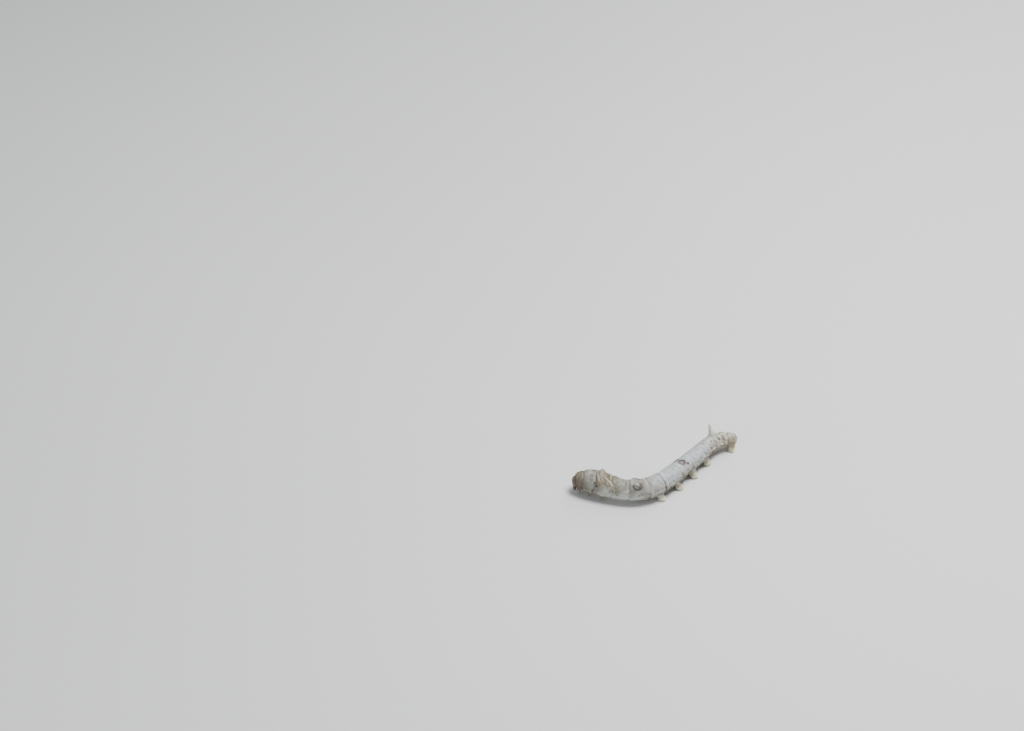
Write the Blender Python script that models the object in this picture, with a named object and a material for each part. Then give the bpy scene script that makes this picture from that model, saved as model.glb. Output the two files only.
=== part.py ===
"""A silkworm, the grown larva of the mulberry silk moth, at life size and standing on the floor.

Run with: blender --background --python part.py
Metres, +Z up. The head points towards -X, the left side faces -Y and the feet stand on Z = 0.
The sizes below are in millimetres and the angles in degrees. MM turns a size into metres.
"""
import math
from collections import namedtuple

import bmesh
import bpy
import numpy as np
from mathutils import Matrix, Vector

MM = 0.001
UP = Vector((0, 0, 1))

# Body, from the neck to the tail
# The body bends in the floor's plane: heading is where it runs at a segment's middle, seen from
# above and measured from +X. roll turns its back towards the left side. height is the centre's.
Segment = namedtuple("Segment", "name length width top bottom heading roll height")
SEGMENTS = (
    Segment("thorax_1", 2.9, 3.00, 2.80, 2.60, 4, 2, 4.25),
    Segment("thorax_2", 4.4, 3.85, 3.75, 3.20, -11, 3, 4.55),
    Segment("thorax_3", 5.6, 3.95, 3.80, 3.30, -18, 3, 4.50),
    Segment("abdomen_1", 5.3, 3.50, 3.30, 3.10, -9, 1, 4.20),
    Segment("abdomen_2", 5.6, 3.50, 3.30, 3.10, 12, -3, 4.20),
    Segment("abdomen_3", 4.9, 3.60, 3.40, 3.10, 35, -10, 4.35),
    Segment("abdomen_4", 7.6, 3.40, 3.30, 3.00, 51, -17, 4.30),
    Segment("abdomen_5", 7.6, 3.20, 3.10, 2.90, 54, -21, 4.20),
    Segment("abdomen_6", 7.5, 3.05, 3.00, 2.80, 56, -22, 4.15),
    Segment("abdomen_7", 4.6, 2.90, 2.85, 2.70, 55, -22, 4.10),
    Segment("abdomen_8", 4.1, 2.75, 2.75, 2.55, 43, -20, 4.05),
    Segment("abdomen_9", 2.5, 2.50, 2.50, 2.30, 22, -16, 3.90),
    Segment("abdomen_10", 3.4, 2.25, 2.25, 2.00, 0, -12, 3.70),
)
NECK_AT = (-25.64, -11.25)      # where the body's centre line starts, in X and Y
GAP = 0.3                       # between pieces that touch in life
SIDES = 28                      # faces round the body
FRONT = 1.1                     # the collar's edge, behind the start of the centre line
FRONT_ROUNDING = (0.7, 1.4)     # how far back the edge is rounded, and the radius of its curve
TAIL_ROUNDING = 2.6             # the last segment closes over this length
TAIL_BLUNTNESS = 2.6
TAIL_CAP = 0.25                 # what is left out of the tail's very end

# Skin
GROOVE_DEPTH = 0.28             # the ring grooves between segments
GROOVE_REACH = 0.42
FURROW = (0.74, 0.10, 0.45)     # a fainter ring on each abdomen segment: place, depth, reach
FLANK_RIDGE = (104, 0.14, 20)   # the fold along each flank: angle from the back, height, reach
# The swollen thorax carries folds across its back: place, height, reach
THORAX_FOLDS = ((5.8, 0.20, 1.50), (8.15, 0.52, 0.45), (9.3, 0.38, 0.40), (10.5, 0.32, 0.40),
                (11.7, 0.28, 0.38))

# Legs. reach is how far the foot stands out from the body's centre line, on the left and right,
# and trail is how far it is behind its root. The photo shows the left feet spread and trailing.
Leg = namedtuple("Leg", "segment place reach_left reach_right trail")
TRUE_LEGS = (
    Leg("thorax_1", 0.66, 1.50, 1.50, 0),
    Leg("thorax_2", 0.57, 2.10, 2.00, 0),
    Leg("thorax_3", 0.55, 2.70, 2.30, 0),
)
PROLEGS = (
    Leg("abdomen_3", 0.66, 3.10, 2.20, 1.1),
    Leg("abdomen_4", 0.70, 3.20, 2.00, 1.6),
    Leg("abdomen_5", 0.72, 3.20, 1.90, 1.6),
    Leg("abdomen_6", 0.76, 2.60, 1.80, 1.6),
)
CLASPERS = Leg("abdomen_10", 0.42, 1.80, 1.40, 0.3)
ROOT_ANGLE = 140                # where a leg leaves the body, from the back
ROOT_DEPTH = 0.58               # how deep its root is sunk: 1 is the skin, 0 the centre line
# From the sole up to the root: place, radius
TRUE_LEG_PROFILE = ((0, 0.27), (0.10, 0.33), (0.26, 0.42), (0.31, 0.36), (0.42, 0.54), (0.54, 0.58),
                    (0.60, 0.50), (0.76, 0.74), (1, 0.86))
PROLEG_PROFILE = ((0, 1.00), (0.10, 1.24), (0.24, 1.27), (0.38, 1.14), (0.55, 1.22), (0.78, 1.55), (1, 1.75))
CLASPER_PROFILE = ((0, 0.80), (0.10, 1.00), (0.26, 1.04), (0.42, 0.96), (0.70, 1.18), (1, 1.30))
SOLE_STRETCH = 1.12             # fleshy feet are this much longer than wide
TRUE_LEG_KNEE = 0.55            # how far the knee bows outwards

# Horn on the eighth abdomen segment
HORN_PLACE = 0.42
HORN_LENGTH = 4.5
HORN_SUNK = 0.7
HORN_LEAN = 6                   # degrees forwards from upright
HORN_PROFILE = ((0, 1.70), (0.12, 1.44), (0.24, 1.18), (0.42, 0.92), (0.64, 0.67), (0.85, 0.42), (1, 0.15))

# Head. Its own axes are x forwards, y left and z up, before it is tipped forwards.
HEAD_AT = 0.65                  # its centre on the body's centre line
HEAD_HEIGHT = 3.85
HEAD_TIP = 8
HEAD_HALF = Vector((1.45, 2.00, 2.10))
MOUTH_NARROWING = 0.12          # how much narrower the head is at its foot
CROWN_GROOVE = (0.14, 0.16)     # depth and reach of the groove between its two lobes
CROWN_START = -0.3              # where the groove starts, as a share of the head's half height
LABRUM_AT = Vector((1.10, 0, -1.78))
LABRUM_HALF = Vector((0.27, 0.62, 0.42))
MANDIBLE_AT = Vector((0.74, 0.63, -2.30))
MANDIBLE_HALF = Vector((0.34, 0.46, 0.56))
LABIUM_AT = Vector((-0.33, 0, -2.30))
LABIUM_HALF = Vector((0.42, 0.74, 0.56))
SPINNERET = (Vector((-0.20, 0, -2.55)), Vector((0.02, 0, -3.25)), 0.26, 0.12)
PALP = (Vector((-0.25, 0.48, -2.45)), Vector((-0.02, 0.62, -3.02)), 0.24, 0.13)
ANTENNA = (Vector((0.80, 1.02, -1.45)), Vector((1.42, 1.60, -2.32)), 0.30, 0.15)
EYE_RADIUS = 0.17
EYE_ARC = (62, -26, 12)         # middle of the arc of five eyes, turned and raised, and its radius
EYE_STEPS = (-120, -70, -20, 30, 80)
LOWER_EYE = (58, -48)

# Colours, as the photo shows them, and roughness
LOOKS = {
    "skin": ((0.62, 0.61, 0.57), 0.55),
    "thorax": ((0.55, 0.50, 0.42), 0.55),
    "feet": ((0.66, 0.60, 0.49), 0.55),
    "horn": ((0.60, 0.57, 0.50), 0.50),
    "head": ((0.24, 0.16, 0.10), 0.35),
    "claws": ((0.36, 0.24, 0.14), 0.35),
}

# The centre line and the table's values, read along it in small steps
LENGTHS = [segment.length for segment in SEGMENTS]
EDGES = np.concatenate(([0.0], np.cumsum(LENGTHS)))
MIDDLES = (EDGES[1:] + EDGES[:-1]) / 2
BODY_LENGTH = float(EDGES[-1])
STEP = 0.05
OVERRUN = 2.0
STATIONS = np.arange(-OVERRUN, BODY_LENGTH + OVERRUN, STEP)


def smooth_curve(values):
    """A cubic curve through the segments' middles, straight beyond the first and the last."""
    values = np.array(values, float)
    slopes = np.gradient(values, MIDDLES)
    i = np.clip(np.searchsorted(MIDDLES, STATIONS) - 1, 0, len(MIDDLES) - 2)
    span = MIDDLES[i + 1] - MIDDLES[i]
    t = np.clip((STATIONS - MIDDLES[i]) / span, 0, 1)
    beyond = STATIONS - np.clip(STATIONS, MIDDLES[0], MIDDLES[-1])
    end_slope = np.where(beyond < 0, slopes[0], slopes[-1])
    curve = values[i] * (1 + 2 * t) * (1 - t) ** 2 + values[i + 1] * t * t * (3 - 2 * t)
    curve += span * (slopes[i] * t * (1 - t) ** 2 + slopes[i + 1] * t * t * (t - 1))
    return curve + end_slope * beyond


CURVES = {field: smooth_curve([getattr(segment, field) for segment in SEGMENTS])
          for field in ("width", "top", "bottom", "heading", "roll", "height")}


def centre_line():
    """X and Y of the centre line at each station, found by walking along its heading."""
    heading = np.radians(CURVES["heading"])
    turn = (heading[1:] + heading[:-1]) / 2
    x = np.concatenate(([0.0], np.cumsum(np.cos(turn) * STEP)))
    y = np.concatenate(([0.0], np.cumsum(np.sin(turn) * STEP)))
    return (x - np.interp(0, STATIONS, x) + NECK_AT[0], y - np.interp(0, STATIONS, y) + NECK_AT[1])


LINE_X, LINE_Y = centre_line()


def along(field, s):
    """A value of the table at the distance s behind the neck."""
    return float(np.interp(s, STATIONS, CURVES[field]))


def body_axes(s):
    """The centre and the left, up and rearward directions of the body at the distance s."""
    heading = math.radians(along("heading", s))
    roll = math.radians(along("roll", s))
    centre = Vector((np.interp(s, STATIONS, LINE_X), np.interp(s, STATIONS, LINE_Y), along("height", s)))
    rearward = Vector((math.cos(heading), math.sin(heading), 0))
    level = Vector((math.sin(heading), -math.cos(heading), 0))
    left = level * math.cos(roll) - UP * math.sin(roll)
    up = UP * math.cos(roll) + level * math.sin(roll)
    return centre, left, up, rearward


def end_factor(s):
    """How much the section shrinks towards the collar's edge and the tail's end."""
    back, radius = FRONT_ROUNDING
    from_front = max(0.0, back - (s - FRONT))
    factor = math.sqrt(max(0.0, 1 - (from_front / radius) ** 2))
    into_tail = max(0.0, (s - BODY_LENGTH + TAIL_ROUNDING) / TAIL_ROUNDING)
    return factor * max(0.0, 1 - into_tail ** TAIL_BLUNTNESS) ** (1 / TAIL_BLUNTNESS)


def bump(distance, reach):
    """A rounded rise of height 1."""
    return math.exp(-(distance / reach) ** 2)


def relief(s, angle):
    """How far the skin stands out from the plain body: grooves, folds and the flank's ridge."""
    out = sum(-GROOVE_DEPTH * bump(s - edge, GROOVE_REACH) for edge in EDGES[1:-1])
    place, depth, reach = FURROW
    for segment, start in zip(SEGMENTS[3:10], EDGES[3:10]):
        out -= depth * bump(s - start - place * segment.length, reach)
    over_back = max(0.0, math.cos(angle)) ** 1.5
    out += over_back * sum(height * bump(s - at, reach) for at, height, reach in THORAX_FOLDS)
    ridge_angle, height, reach = FLANK_RIDGE
    from_back = abs(math.degrees(math.remainder(angle, 2 * math.pi)))
    return out + height * bump(from_back - ridge_angle, reach)


def body_point(s, angle, depth=1.0, grown=0.0):
    """A point of the skin. depth 0 is the centre line, and grown moves the skin outwards."""
    centre, left, up, rearward = body_axes(s)
    half_height = along("top" if math.cos(angle) > 0 else "bottom", s)
    skin = relief(s, angle)
    factor = end_factor(s) * depth
    across = (along("width", s) + skin) * factor + grown
    upright = (half_height + skin) * factor + grown
    return centre + left * (across * math.sin(angle)) + up * (upright * math.cos(angle))


def segment_stations(index):
    """Where a segment's rings lie: close together at its grooves and in the folded thorax."""
    start = EDGES[index] + GAP / 2
    end = EDGES[index + 1] - GAP / 2
    shares = (0, 0.06, 0.13, 0.24, 0.38, 0.52, 0.64, 0.74, 0.84, 0.92, 1)
    if index == 0:
        start = FRONT
        shares = (0, 0.10, 0.24, 0.42, 0.66, 0.85, 1)
    if SEGMENTS[index].name == "thorax_3":
        shares = [i / 16 for i in range(17)]
    if index == len(SEGMENTS) - 1:
        end = BODY_LENGTH - TAIL_CAP
        shares = (0, 0.08, 0.20, 0.36, 0.52, 0.66, 0.78, 0.88, 0.95, 1)
    return [start + (end - start) * share for share in shares]


def wrapped_tube(stations, sides, place):
    """A closed tube: a grid rolled up, its vertices put by place(station, angle), its ends filled."""
    bm = bmesh.new()
    columns = len(stations) - 1
    bmesh.ops.create_grid(bm, x_segments=columns, y_segments=sides, size=0.5)
    for vert in bm.verts:
        station = stations[round((vert.co.x + 0.5) * columns)]
        vert.co = place(station, round((vert.co.y + 0.5) * sides) / sides * 2 * math.pi)
    bmesh.ops.remove_doubles(bm, verts=bm.verts, dist=0.0001)
    bmesh.ops.holes_fill(bm, edges=bm.edges, sides=0)
    bmesh.ops.triangulate(bm, faces=bm.faces)
    bmesh.ops.recalc_face_normals(bm, faces=bm.faces)
    return bm


def tapered_tube(points, radii, sides, stretch=1.0, stretch_along=None):
    """A closed tube of level rings on the points, stretched along one direction if asked."""
    forward = stretch_along or Vector((1, 0, 0))
    across = UP.cross(forward)

    def place(i, angle):
        ring = forward * (math.cos(angle) * stretch) + across * math.sin(angle)
        return points[i] + ring * radii[i]

    return wrapped_tube(list(range(len(points))), sides, place)


def cone_between(start, end, start_radius, end_radius, sides=12):
    """A closed cone from one point to another."""
    bm = bmesh.new()
    line = end - start
    turn = line.to_track_quat("Z", "Y").to_matrix().to_4x4()
    bmesh.ops.create_cone(bm, cap_ends=True, segments=sides, radius1=start_radius, radius2=end_radius,
                          depth=line.length, matrix=Matrix.Translation((start + end) / 2) @ turn)
    return bm


def ellipsoid(centre, half, u_segments=18, v_segments=10):
    """A closed ellipsoid along the axes."""
    bm = bmesh.new()
    stretch = Matrix.Diagonal(half).to_4x4()
    bmesh.ops.create_uvsphere(bm, u_segments=u_segments, v_segments=v_segments, radius=1,
                              matrix=Matrix.Translation(centre) @ stretch)
    return bm


def add_piece(name, bm, place, material, collection=None):
    """An object from a closed mesh in millimetres, stored about its own place."""
    bmesh.ops.transform(bm, matrix=place.inverted(), verts=bm.verts)
    bmesh.ops.scale(bm, vec=(MM, MM, MM), verts=bm.verts)
    mesh = bpy.data.meshes.new(name)
    bm.to_mesh(mesh)
    bm.free()
    if material:
        mesh.materials.append(material)
    piece = bpy.data.objects.new(name, mesh)
    (collection or bpy.context.scene.collection).objects.link(piece)
    piece.matrix_world = Matrix.Translation(place.translation * MM) @ place.to_3x3().to_4x4()
    return piece


def make_material(name, colour, roughness):
    material = bpy.data.materials.new(name)
    material.use_nodes = True
    shader = material.node_tree.nodes["Principled BSDF"]
    shader.inputs["Base Color"].default_value = (*colour, 1)
    shader.inputs["Roughness"].default_value = roughness
    shader.inputs["Metallic"].default_value = 0
    return material


def hide_cutter(cutter):
    cutter.hide_render = True
    cutter.display_type = "WIRE"


def apply_boolean(piece, operation, operand=None, collection=None):
    """Cuts the operand from the piece, or joins a collection's closed meshes to it."""
    modifier = piece.modifiers.new(operation.title(), "BOOLEAN")
    modifier.operation = operation
    modifier.solver = "EXACT"
    if collection:
        modifier.operand_type = "COLLECTION"
        modifier.collection = collection
    else:
        modifier.object = operand
    bpy.context.view_layer.update()
    with bpy.context.temp_override(object=piece, active_object=piece):
        bpy.ops.object.modifier_apply(modifier=modifier.name)


def keep_largest(piece):
    """Removes all but the piece's largest closed surface."""
    bm = bmesh.new()
    bm.from_mesh(piece.data)
    unseen = set(bm.faces)
    surfaces = []
    while unseen:
        stack = [unseen.pop()]
        surface = []
        while stack:
            face = stack.pop()
            surface.append(face)
            for edge in face.edges:
                for neighbour in edge.link_faces:
                    if neighbour in unseen:
                        unseen.remove(neighbour)
                        stack.append(neighbour)
        surfaces.append(surface)
    surfaces.sort(key=lambda faces: sum(face.calc_area() for face in faces), reverse=True)
    for surface in surfaces[1:]:
        bmesh.ops.delete(bm, geom=surface, context="FACES")
    loose = [vert for vert in bm.verts if not vert.link_faces]
    bmesh.ops.delete(bm, geom=loose, context="VERTS")
    bmesh.ops.dissolve_degenerate(bm, dist=0.000001, edges=bm.edges)
    bmesh.ops.triangulate(bm, faces=bm.faces)
    bm.to_mesh(piece.data)
    bm.free()


def clear_of(piece, *cutters):
    for cutter in cutters:
        apply_boolean(piece, "DIFFERENCE", operand=cutter)
    keep_largest(piece)


def segment_index(name):
    return [segment.name for segment in SEGMENTS].index(name)


def distance_to(segment_name, share):
    """The distance behind the neck of a place within a segment."""
    index = segment_index(segment_name)
    return float(EDGES[index]) + share * SEGMENTS[index].length


def body_segments(materials, cutters):
    """One closed length of body for each segment, and the clearance round the whole body."""
    pieces = []
    all_stations = [FRONT - GAP]
    for index, segment in enumerate(SEGMENTS):
        stations = segment_stations(index)
        all_stations += stations
        bm = wrapped_tube(stations, SIDES, body_point)
        centre = body_axes(float(MIDDLES[index]))[0]
        kind = "thorax" if segment.name.startswith("thorax") else "skin"
        pieces.append(add_piece(segment.name, bm, Matrix.Translation(centre), materials[kind]))
    all_stations.append(BODY_LENGTH - TAIL_CAP + GAP)

    def grown_point(s, angle):
        held = min(max(s, FRONT), BODY_LENGTH - TAIL_CAP)
        shift = body_axes(held)[3] * (s - held)
        return body_point(held, angle, grown=GAP) + shift

    bm = wrapped_tube(all_stations, SIDES, grown_point)
    clearance = add_piece("body_clearance", bm, Matrix.Identity(4), None, cutters)
    hide_cutter(clearance)
    return pieces, clearance


def head_axes():
    """The head's place: x forwards, y left, z up, tipped forwards."""
    centre, left, up, rearward = body_axes(HEAD_AT)
    centre.z = HEAD_HEIGHT
    level_left = UP.cross(-rearward)
    turn = Matrix((-rearward, level_left, UP)).transposed().to_4x4()
    return Matrix.Translation(centre) @ turn @ Matrix.Rotation(math.radians(HEAD_TIP), 4, "Y")


def head_direction(turned, raised):
    """A unit direction in the head's axes, turned from the front to the left and raised."""
    turned = math.radians(turned)
    raised = math.radians(raised)
    level = math.cos(raised)
    return Vector((level * math.cos(turned), level * math.sin(turned), math.sin(raised)))


def head_capsule(place, grown=0.0):
    """The head's two round lobes with the groove between them on the crown, narrower at the mouth."""
    half = HEAD_HALF + Vector((grown, grown, grown))
    bm = ellipsoid(Vector((0, 0, 0)), Vector((1, 1, 1)), u_segments=28, v_segments=16)
    depth, reach = CROWN_GROOVE
    for vert in bm.verts:
        x, y, z = vert.co
        groove = depth * bump(y, reach) * min(1.0, max(0.0, z - CROWN_START))
        mouth = 1 - MOUTH_NARROWING * max(0.0, -z)
        vert.co = Vector((x * half.x, y * half.y * mouth, z * half.z)) * (1 - groove / HEAD_HALF.z)
    bmesh.ops.transform(bm, matrix=place, verts=bm.verts)
    return bm


def placed(bm, place):
    bmesh.ops.transform(bm, matrix=place, verts=bm.verts)
    return bm


def mirrored(point, side):
    return Vector((point.x, point.y * side, point.z))


def head_pieces(materials, cutters, body_clearance):
    """The head with its eyes and upper lip, the two jaws, the lower lip and the feelers."""
    place = head_axes()
    clear = [body_clearance]
    labrum_grown = ellipsoid(LABRUM_AT, LABRUM_HALF + Vector((GAP, GAP, GAP)))
    for name, bm in (("capsule_clearance", head_capsule(place, GAP)),
                     ("labrum_clearance", placed(labrum_grown, place))):
        cutter = add_piece(name, bm, Matrix.Identity(4), None, cutters)
        hide_cutter(cutter)
        clear.append(cutter)

    head = add_piece("head", head_capsule(place), place, materials["head"])
    trim = bpy.data.collections.new("head_trim")
    bpy.context.scene.collection.children.link(trim)
    labrum = placed(ellipsoid(LABRUM_AT, LABRUM_HALF), place)
    add_piece("labrum", labrum, place, materials["head"], trim)
    turned, raised, radius = EYE_ARC
    eyes = [(turned + radius * math.cos(math.radians(step)), raised + radius * math.sin(math.radians(step)))
            for step in EYE_STEPS]
    for side in (1, -1):
        for eye_turned, eye_raised in eyes + [LOWER_EYE]:
            at = head_direction(eye_turned, eye_raised)
            at.y *= side * (1 - MOUTH_NARROWING * max(0.0, -at.z))
            at = at * HEAD_HALF
            eye = ellipsoid(at, Vector((EYE_RADIUS, EYE_RADIUS, EYE_RADIUS)), u_segments=8, v_segments=6)
            add_piece("eye", placed(eye, place), place, materials["head"], trim)
    apply_boolean(head, "UNION", collection=trim)
    for part in list(trim.objects):
        bpy.data.objects.remove(part)
    bpy.data.collections.remove(trim)
    clear_of(head, body_clearance)
    pieces = [head]

    for side, word in ((1, "left"), (-1, "right")):
        jaw_at = place @ Matrix.Translation(mirrored(MANDIBLE_AT, side))
        jaw = ellipsoid(mirrored(MANDIBLE_AT, side), MANDIBLE_HALF, u_segments=14, v_segments=8)
        pieces.append(add_piece("mandible_" + word, placed(jaw, place), jaw_at, materials["head"]))
        clear_of(pieces[-1], *clear)
        root, tip, root_radius, tip_radius = ANTENNA
        feeler = cone_between(mirrored(root, side), mirrored(tip, side), root_radius, tip_radius, sides=10)
        feeler_at = place @ Matrix.Translation(mirrored(root, side))
        pieces.append(add_piece("antenna_" + word, placed(feeler, place), feeler_at, materials["head"]))
        clear_of(pieces[-1], *clear)

    lip_at = place @ Matrix.Translation(LABIUM_AT)
    lip = add_piece("mouthparts", placed(ellipsoid(LABIUM_AT, LABIUM_HALF), place), lip_at, materials["head"])
    trim = bpy.data.collections.new("lip_trim")
    bpy.context.scene.collection.children.link(trim)
    root, tip, root_radius, tip_radius = SPINNERET
    add_piece("spinneret", placed(cone_between(root, tip, root_radius, tip_radius), place), place, None, trim)
    root, tip, root_radius, tip_radius = PALP
    for side in (1, -1):
        palp = cone_between(mirrored(root, side), mirrored(tip, side), root_radius, tip_radius)
        add_piece("palp", placed(palp, place), place, None, trim)
    apply_boolean(lip, "UNION", collection=trim)
    for part in list(trim.objects):
        bpy.data.objects.remove(part)
    bpy.data.collections.remove(trim)
    clear_of(lip, *clear)
    return pieces + [lip]


def leg_piece(name, leg, side, profile, stretch, knee, material, clearance):
    """A leg from its flat sole on the floor up to its root in the body, cut clear of the skin."""
    s = distance_to(leg.segment, leg.place)
    centre, left, up, rearward = body_axes(s)
    reach = leg.reach_left if side > 0 else leg.reach_right
    outward = Vector((left.x, left.y, 0)).normalized() * side
    foot = Vector((centre.x, centre.y, 0)) + outward * reach + rearward * leg.trail
    root = body_point(s, side * math.radians(ROOT_ANGLE), ROOT_DEPTH)
    points = []
    for share, radius in profile:
        bow = knee * math.sin(math.pi * share)
        points.append(foot.lerp(root, share) + outward * bow)
    radii = [radius for share, radius in profile]
    sides = 20 if stretch > 1 else 14
    bm = tapered_tube(points, radii, sides, stretch, rearward)
    piece = add_piece(name, bm, Matrix.Translation(foot), material)
    clear_of(piece, clearance)
    return piece


def legs(materials, clearance):
    pieces = []
    for side, word in ((1, "left"), (-1, "right")):
        for number, leg in enumerate(TRUE_LEGS, 1):
            pieces.append(leg_piece(f"leg_{number}_{word}", leg, side, TRUE_LEG_PROFILE, 1.0, TRUE_LEG_KNEE,
                                    materials["claws"], clearance))
        for number, leg in enumerate(PROLEGS, 3):
            pieces.append(leg_piece(f"proleg_{number}_{word}", leg, side, PROLEG_PROFILE, SOLE_STRETCH, 0,
                                    materials["feet"], clearance))
        pieces.append(leg_piece(f"clasper_{word}", CLASPERS, side, CLASPER_PROFILE, SOLE_STRETCH, 0,
                                materials["feet"], clearance))
    return pieces


def horn(material, clearance):
    """The fleshy horn, upright on the eighth abdomen segment and leaning forwards a little."""
    s = distance_to("abdomen_8", HORN_PLACE)
    centre, left, up, rearward = body_axes(s)
    lean = math.radians(HORN_LEAN)
    axis = up * math.cos(lean) - rearward * math.sin(lean)
    root = body_point(s, 0) - up * HORN_SUNK
    span = HORN_LENGTH + HORN_SUNK
    points = [root + axis * (span * share) for share, radius in HORN_PROFILE]
    radii = [radius for share, radius in HORN_PROFILE]
    piece = add_piece("horn", tapered_tube(points, radii, 16), Matrix.Translation(root), material)
    clear_of(piece, clearance)
    return piece


def main():
    for old in list(bpy.data.objects):
        bpy.data.objects.remove(old)
    materials = {name: make_material(name, *look) for name, look in LOOKS.items()}
    cutters = bpy.data.collections.new("cutters")
    bpy.context.scene.collection.children.link(cutters)
    pieces, clearance = body_segments(materials, cutters)
    pieces += head_pieces(materials, cutters, clearance)
    pieces += legs(materials, clearance)
    pieces.append(horn(materials["horn"], clearance))

    silkworm = bpy.data.objects.new("silkworm", None)
    bpy.context.scene.collection.objects.link(silkworm)
    for piece in pieces:
        piece.parent = silkworm


main()
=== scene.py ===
import math
import random
from collections import namedtuple

import bmesh
import bpy
import numpy as np
from mathutils import Matrix, Vector, noise
from mathutils.bvhtree import BVHTree


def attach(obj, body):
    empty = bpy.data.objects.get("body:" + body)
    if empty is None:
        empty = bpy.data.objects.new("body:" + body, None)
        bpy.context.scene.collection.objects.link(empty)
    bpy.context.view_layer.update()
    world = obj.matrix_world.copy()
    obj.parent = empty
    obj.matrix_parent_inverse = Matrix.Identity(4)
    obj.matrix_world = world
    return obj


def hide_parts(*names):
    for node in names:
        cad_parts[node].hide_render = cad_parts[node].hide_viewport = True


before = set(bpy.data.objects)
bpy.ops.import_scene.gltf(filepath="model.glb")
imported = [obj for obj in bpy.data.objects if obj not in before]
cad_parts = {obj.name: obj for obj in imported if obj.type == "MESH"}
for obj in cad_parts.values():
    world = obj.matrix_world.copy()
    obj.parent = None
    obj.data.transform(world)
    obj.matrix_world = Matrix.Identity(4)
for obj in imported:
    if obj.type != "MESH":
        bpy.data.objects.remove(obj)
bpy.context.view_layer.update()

# A silkworm at life size. Shapes are made in millimetres in the solids' own frame, and MM turns
# them into metres. A place on the body is a distance behind the neck and an angle from the back,
# which grows down the left side. Angles are in degrees, but where a name is angle, in radians.
MM = 0.001
UP = Vector((0, 0, 1))
SIDES = ((1, "left"), (-1, "right"))

# The body's sizes, as in the solids
Segment = namedtuple("Segment", "name length width top bottom heading roll height")
SEGMENTS = (
    Segment("thorax_1", 2.9, 3.00, 2.80, 2.60, 4, 2, 4.25),
    Segment("thorax_2", 4.4, 3.85, 3.75, 3.20, -11, 3, 4.55),
    Segment("thorax_3", 5.6, 3.95, 3.80, 3.30, -18, 3, 4.50),
    Segment("abdomen_1", 5.3, 3.50, 3.30, 3.10, -9, 1, 4.20),
    Segment("abdomen_2", 5.6, 3.50, 3.30, 3.10, 12, -3, 4.20),
    Segment("abdomen_3", 4.9, 3.60, 3.40, 3.10, 35, -10, 4.35),
    Segment("abdomen_4", 7.6, 3.40, 3.30, 3.00, 51, -17, 4.30),
    Segment("abdomen_5", 7.6, 3.20, 3.10, 2.90, 54, -21, 4.20),
    Segment("abdomen_6", 7.5, 3.05, 3.00, 2.80, 56, -22, 4.15),
    Segment("abdomen_7", 4.6, 2.90, 2.85, 2.70, 55, -22, 4.10),
    Segment("abdomen_8", 4.1, 2.75, 2.75, 2.55, 43, -20, 4.05),
    Segment("abdomen_9", 2.5, 2.50, 2.50, 2.30, 22, -16, 3.90),
    Segment("abdomen_10", 3.4, 2.25, 2.25, 2.00, 0, -12, 3.70),
)
NECK_AT = (-25.64, -11.25)
TAIL_ROUNDING = 2.6
TAIL_BLUNTNESS = 2.6
Leg = namedtuple("Leg", "name segment place reach_left reach_right trail")
TRUE_LEGS = (
    Leg("leg_1", "thorax_1", 0.66, 1.50, 1.50, 0),
    Leg("leg_2", "thorax_2", 0.57, 2.10, 2.00, 0),
    Leg("leg_3", "thorax_3", 0.55, 2.70, 2.30, 0),
)
PROLEGS = (
    Leg("proleg_3", "abdomen_3", 0.66, 3.10, 2.20, 1.1),
    Leg("proleg_4", "abdomen_4", 0.70, 3.20, 2.00, 1.6),
    Leg("proleg_5", "abdomen_5", 0.72, 3.20, 1.90, 1.6),
    Leg("proleg_6", "abdomen_6", 0.76, 2.60, 1.80, 1.6),
)
CLASPERS = Leg("clasper", "abdomen_10", 0.42, 1.80, 1.40, 0.3)
ROOT_ANGLE = 140
ROOT_DEPTH = 0.58
PROLEG_PROFILE = ((0, 1.00), (0.10, 1.24), (0.24, 1.27), (0.38, 1.14), (0.55, 1.22), (0.78, 1.55), (1, 1.75))
CLASPER_PROFILE = ((0, 0.80), (0.10, 1.00), (0.26, 1.04), (0.42, 0.96), (0.70, 1.18), (1, 1.30))
COXA_PROFILE = ((0.56, 0.30), (0.60, 0.56), (0.68, 0.70), (0.82, 0.84), (1, 1.00))
SOLE_STRETCH = 1.12
TRUE_LEG_KNEE = 0.55
HORN_PLACE = 0.42
HORN_LENGTH = 4.5
HORN_SUNK = 0.7
HORN_LEAN = 6
HORN_PROFILE = ((0, 1.70), (0.12, 1.44), (0.24, 1.18), (0.42, 0.92), (0.64, 0.67), (0.85, 0.42), (1, 0.17))

# Collar round the head: rings of the skin's inner side from the neck out to the lip
COLLAR = ((2.9, 0.02), (2.9, 0.50), (2.5, 0.62), (1.9, 0.68), (1.45, 0.71), (1.2, 0.745), (1.07, 0.770),
          (1.02, 0.795), (1.05, 0.825), (1.14, 0.852))
HOOD = 0.75                     # how much further forwards the collar reaches over the head
HOOD_FADE = (1.2, 4.2)
FRONT_ROUNDING = (2.2, 1.9)

# Skin mesh
VOXEL = 0.153
BODY_SIDES = 56
RING_SPACING = 0.45
SMOOTHING = 5
FRONT_RINGS = (1.28, 1.45, 1.65, 1.85)      # where the first rings of the body's outer side stand
RINGS_FROM = 2.0
TAIL_TURNS = np.linspace(0, 1.45, 12)       # rings round the tail's end, in radians
# Rings and sides of the tubes that the skin is made from
FOOT_MESH = (22, 28)
COXA_MESH = (12, 20)
HORN_MESH = (26, 24)

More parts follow.
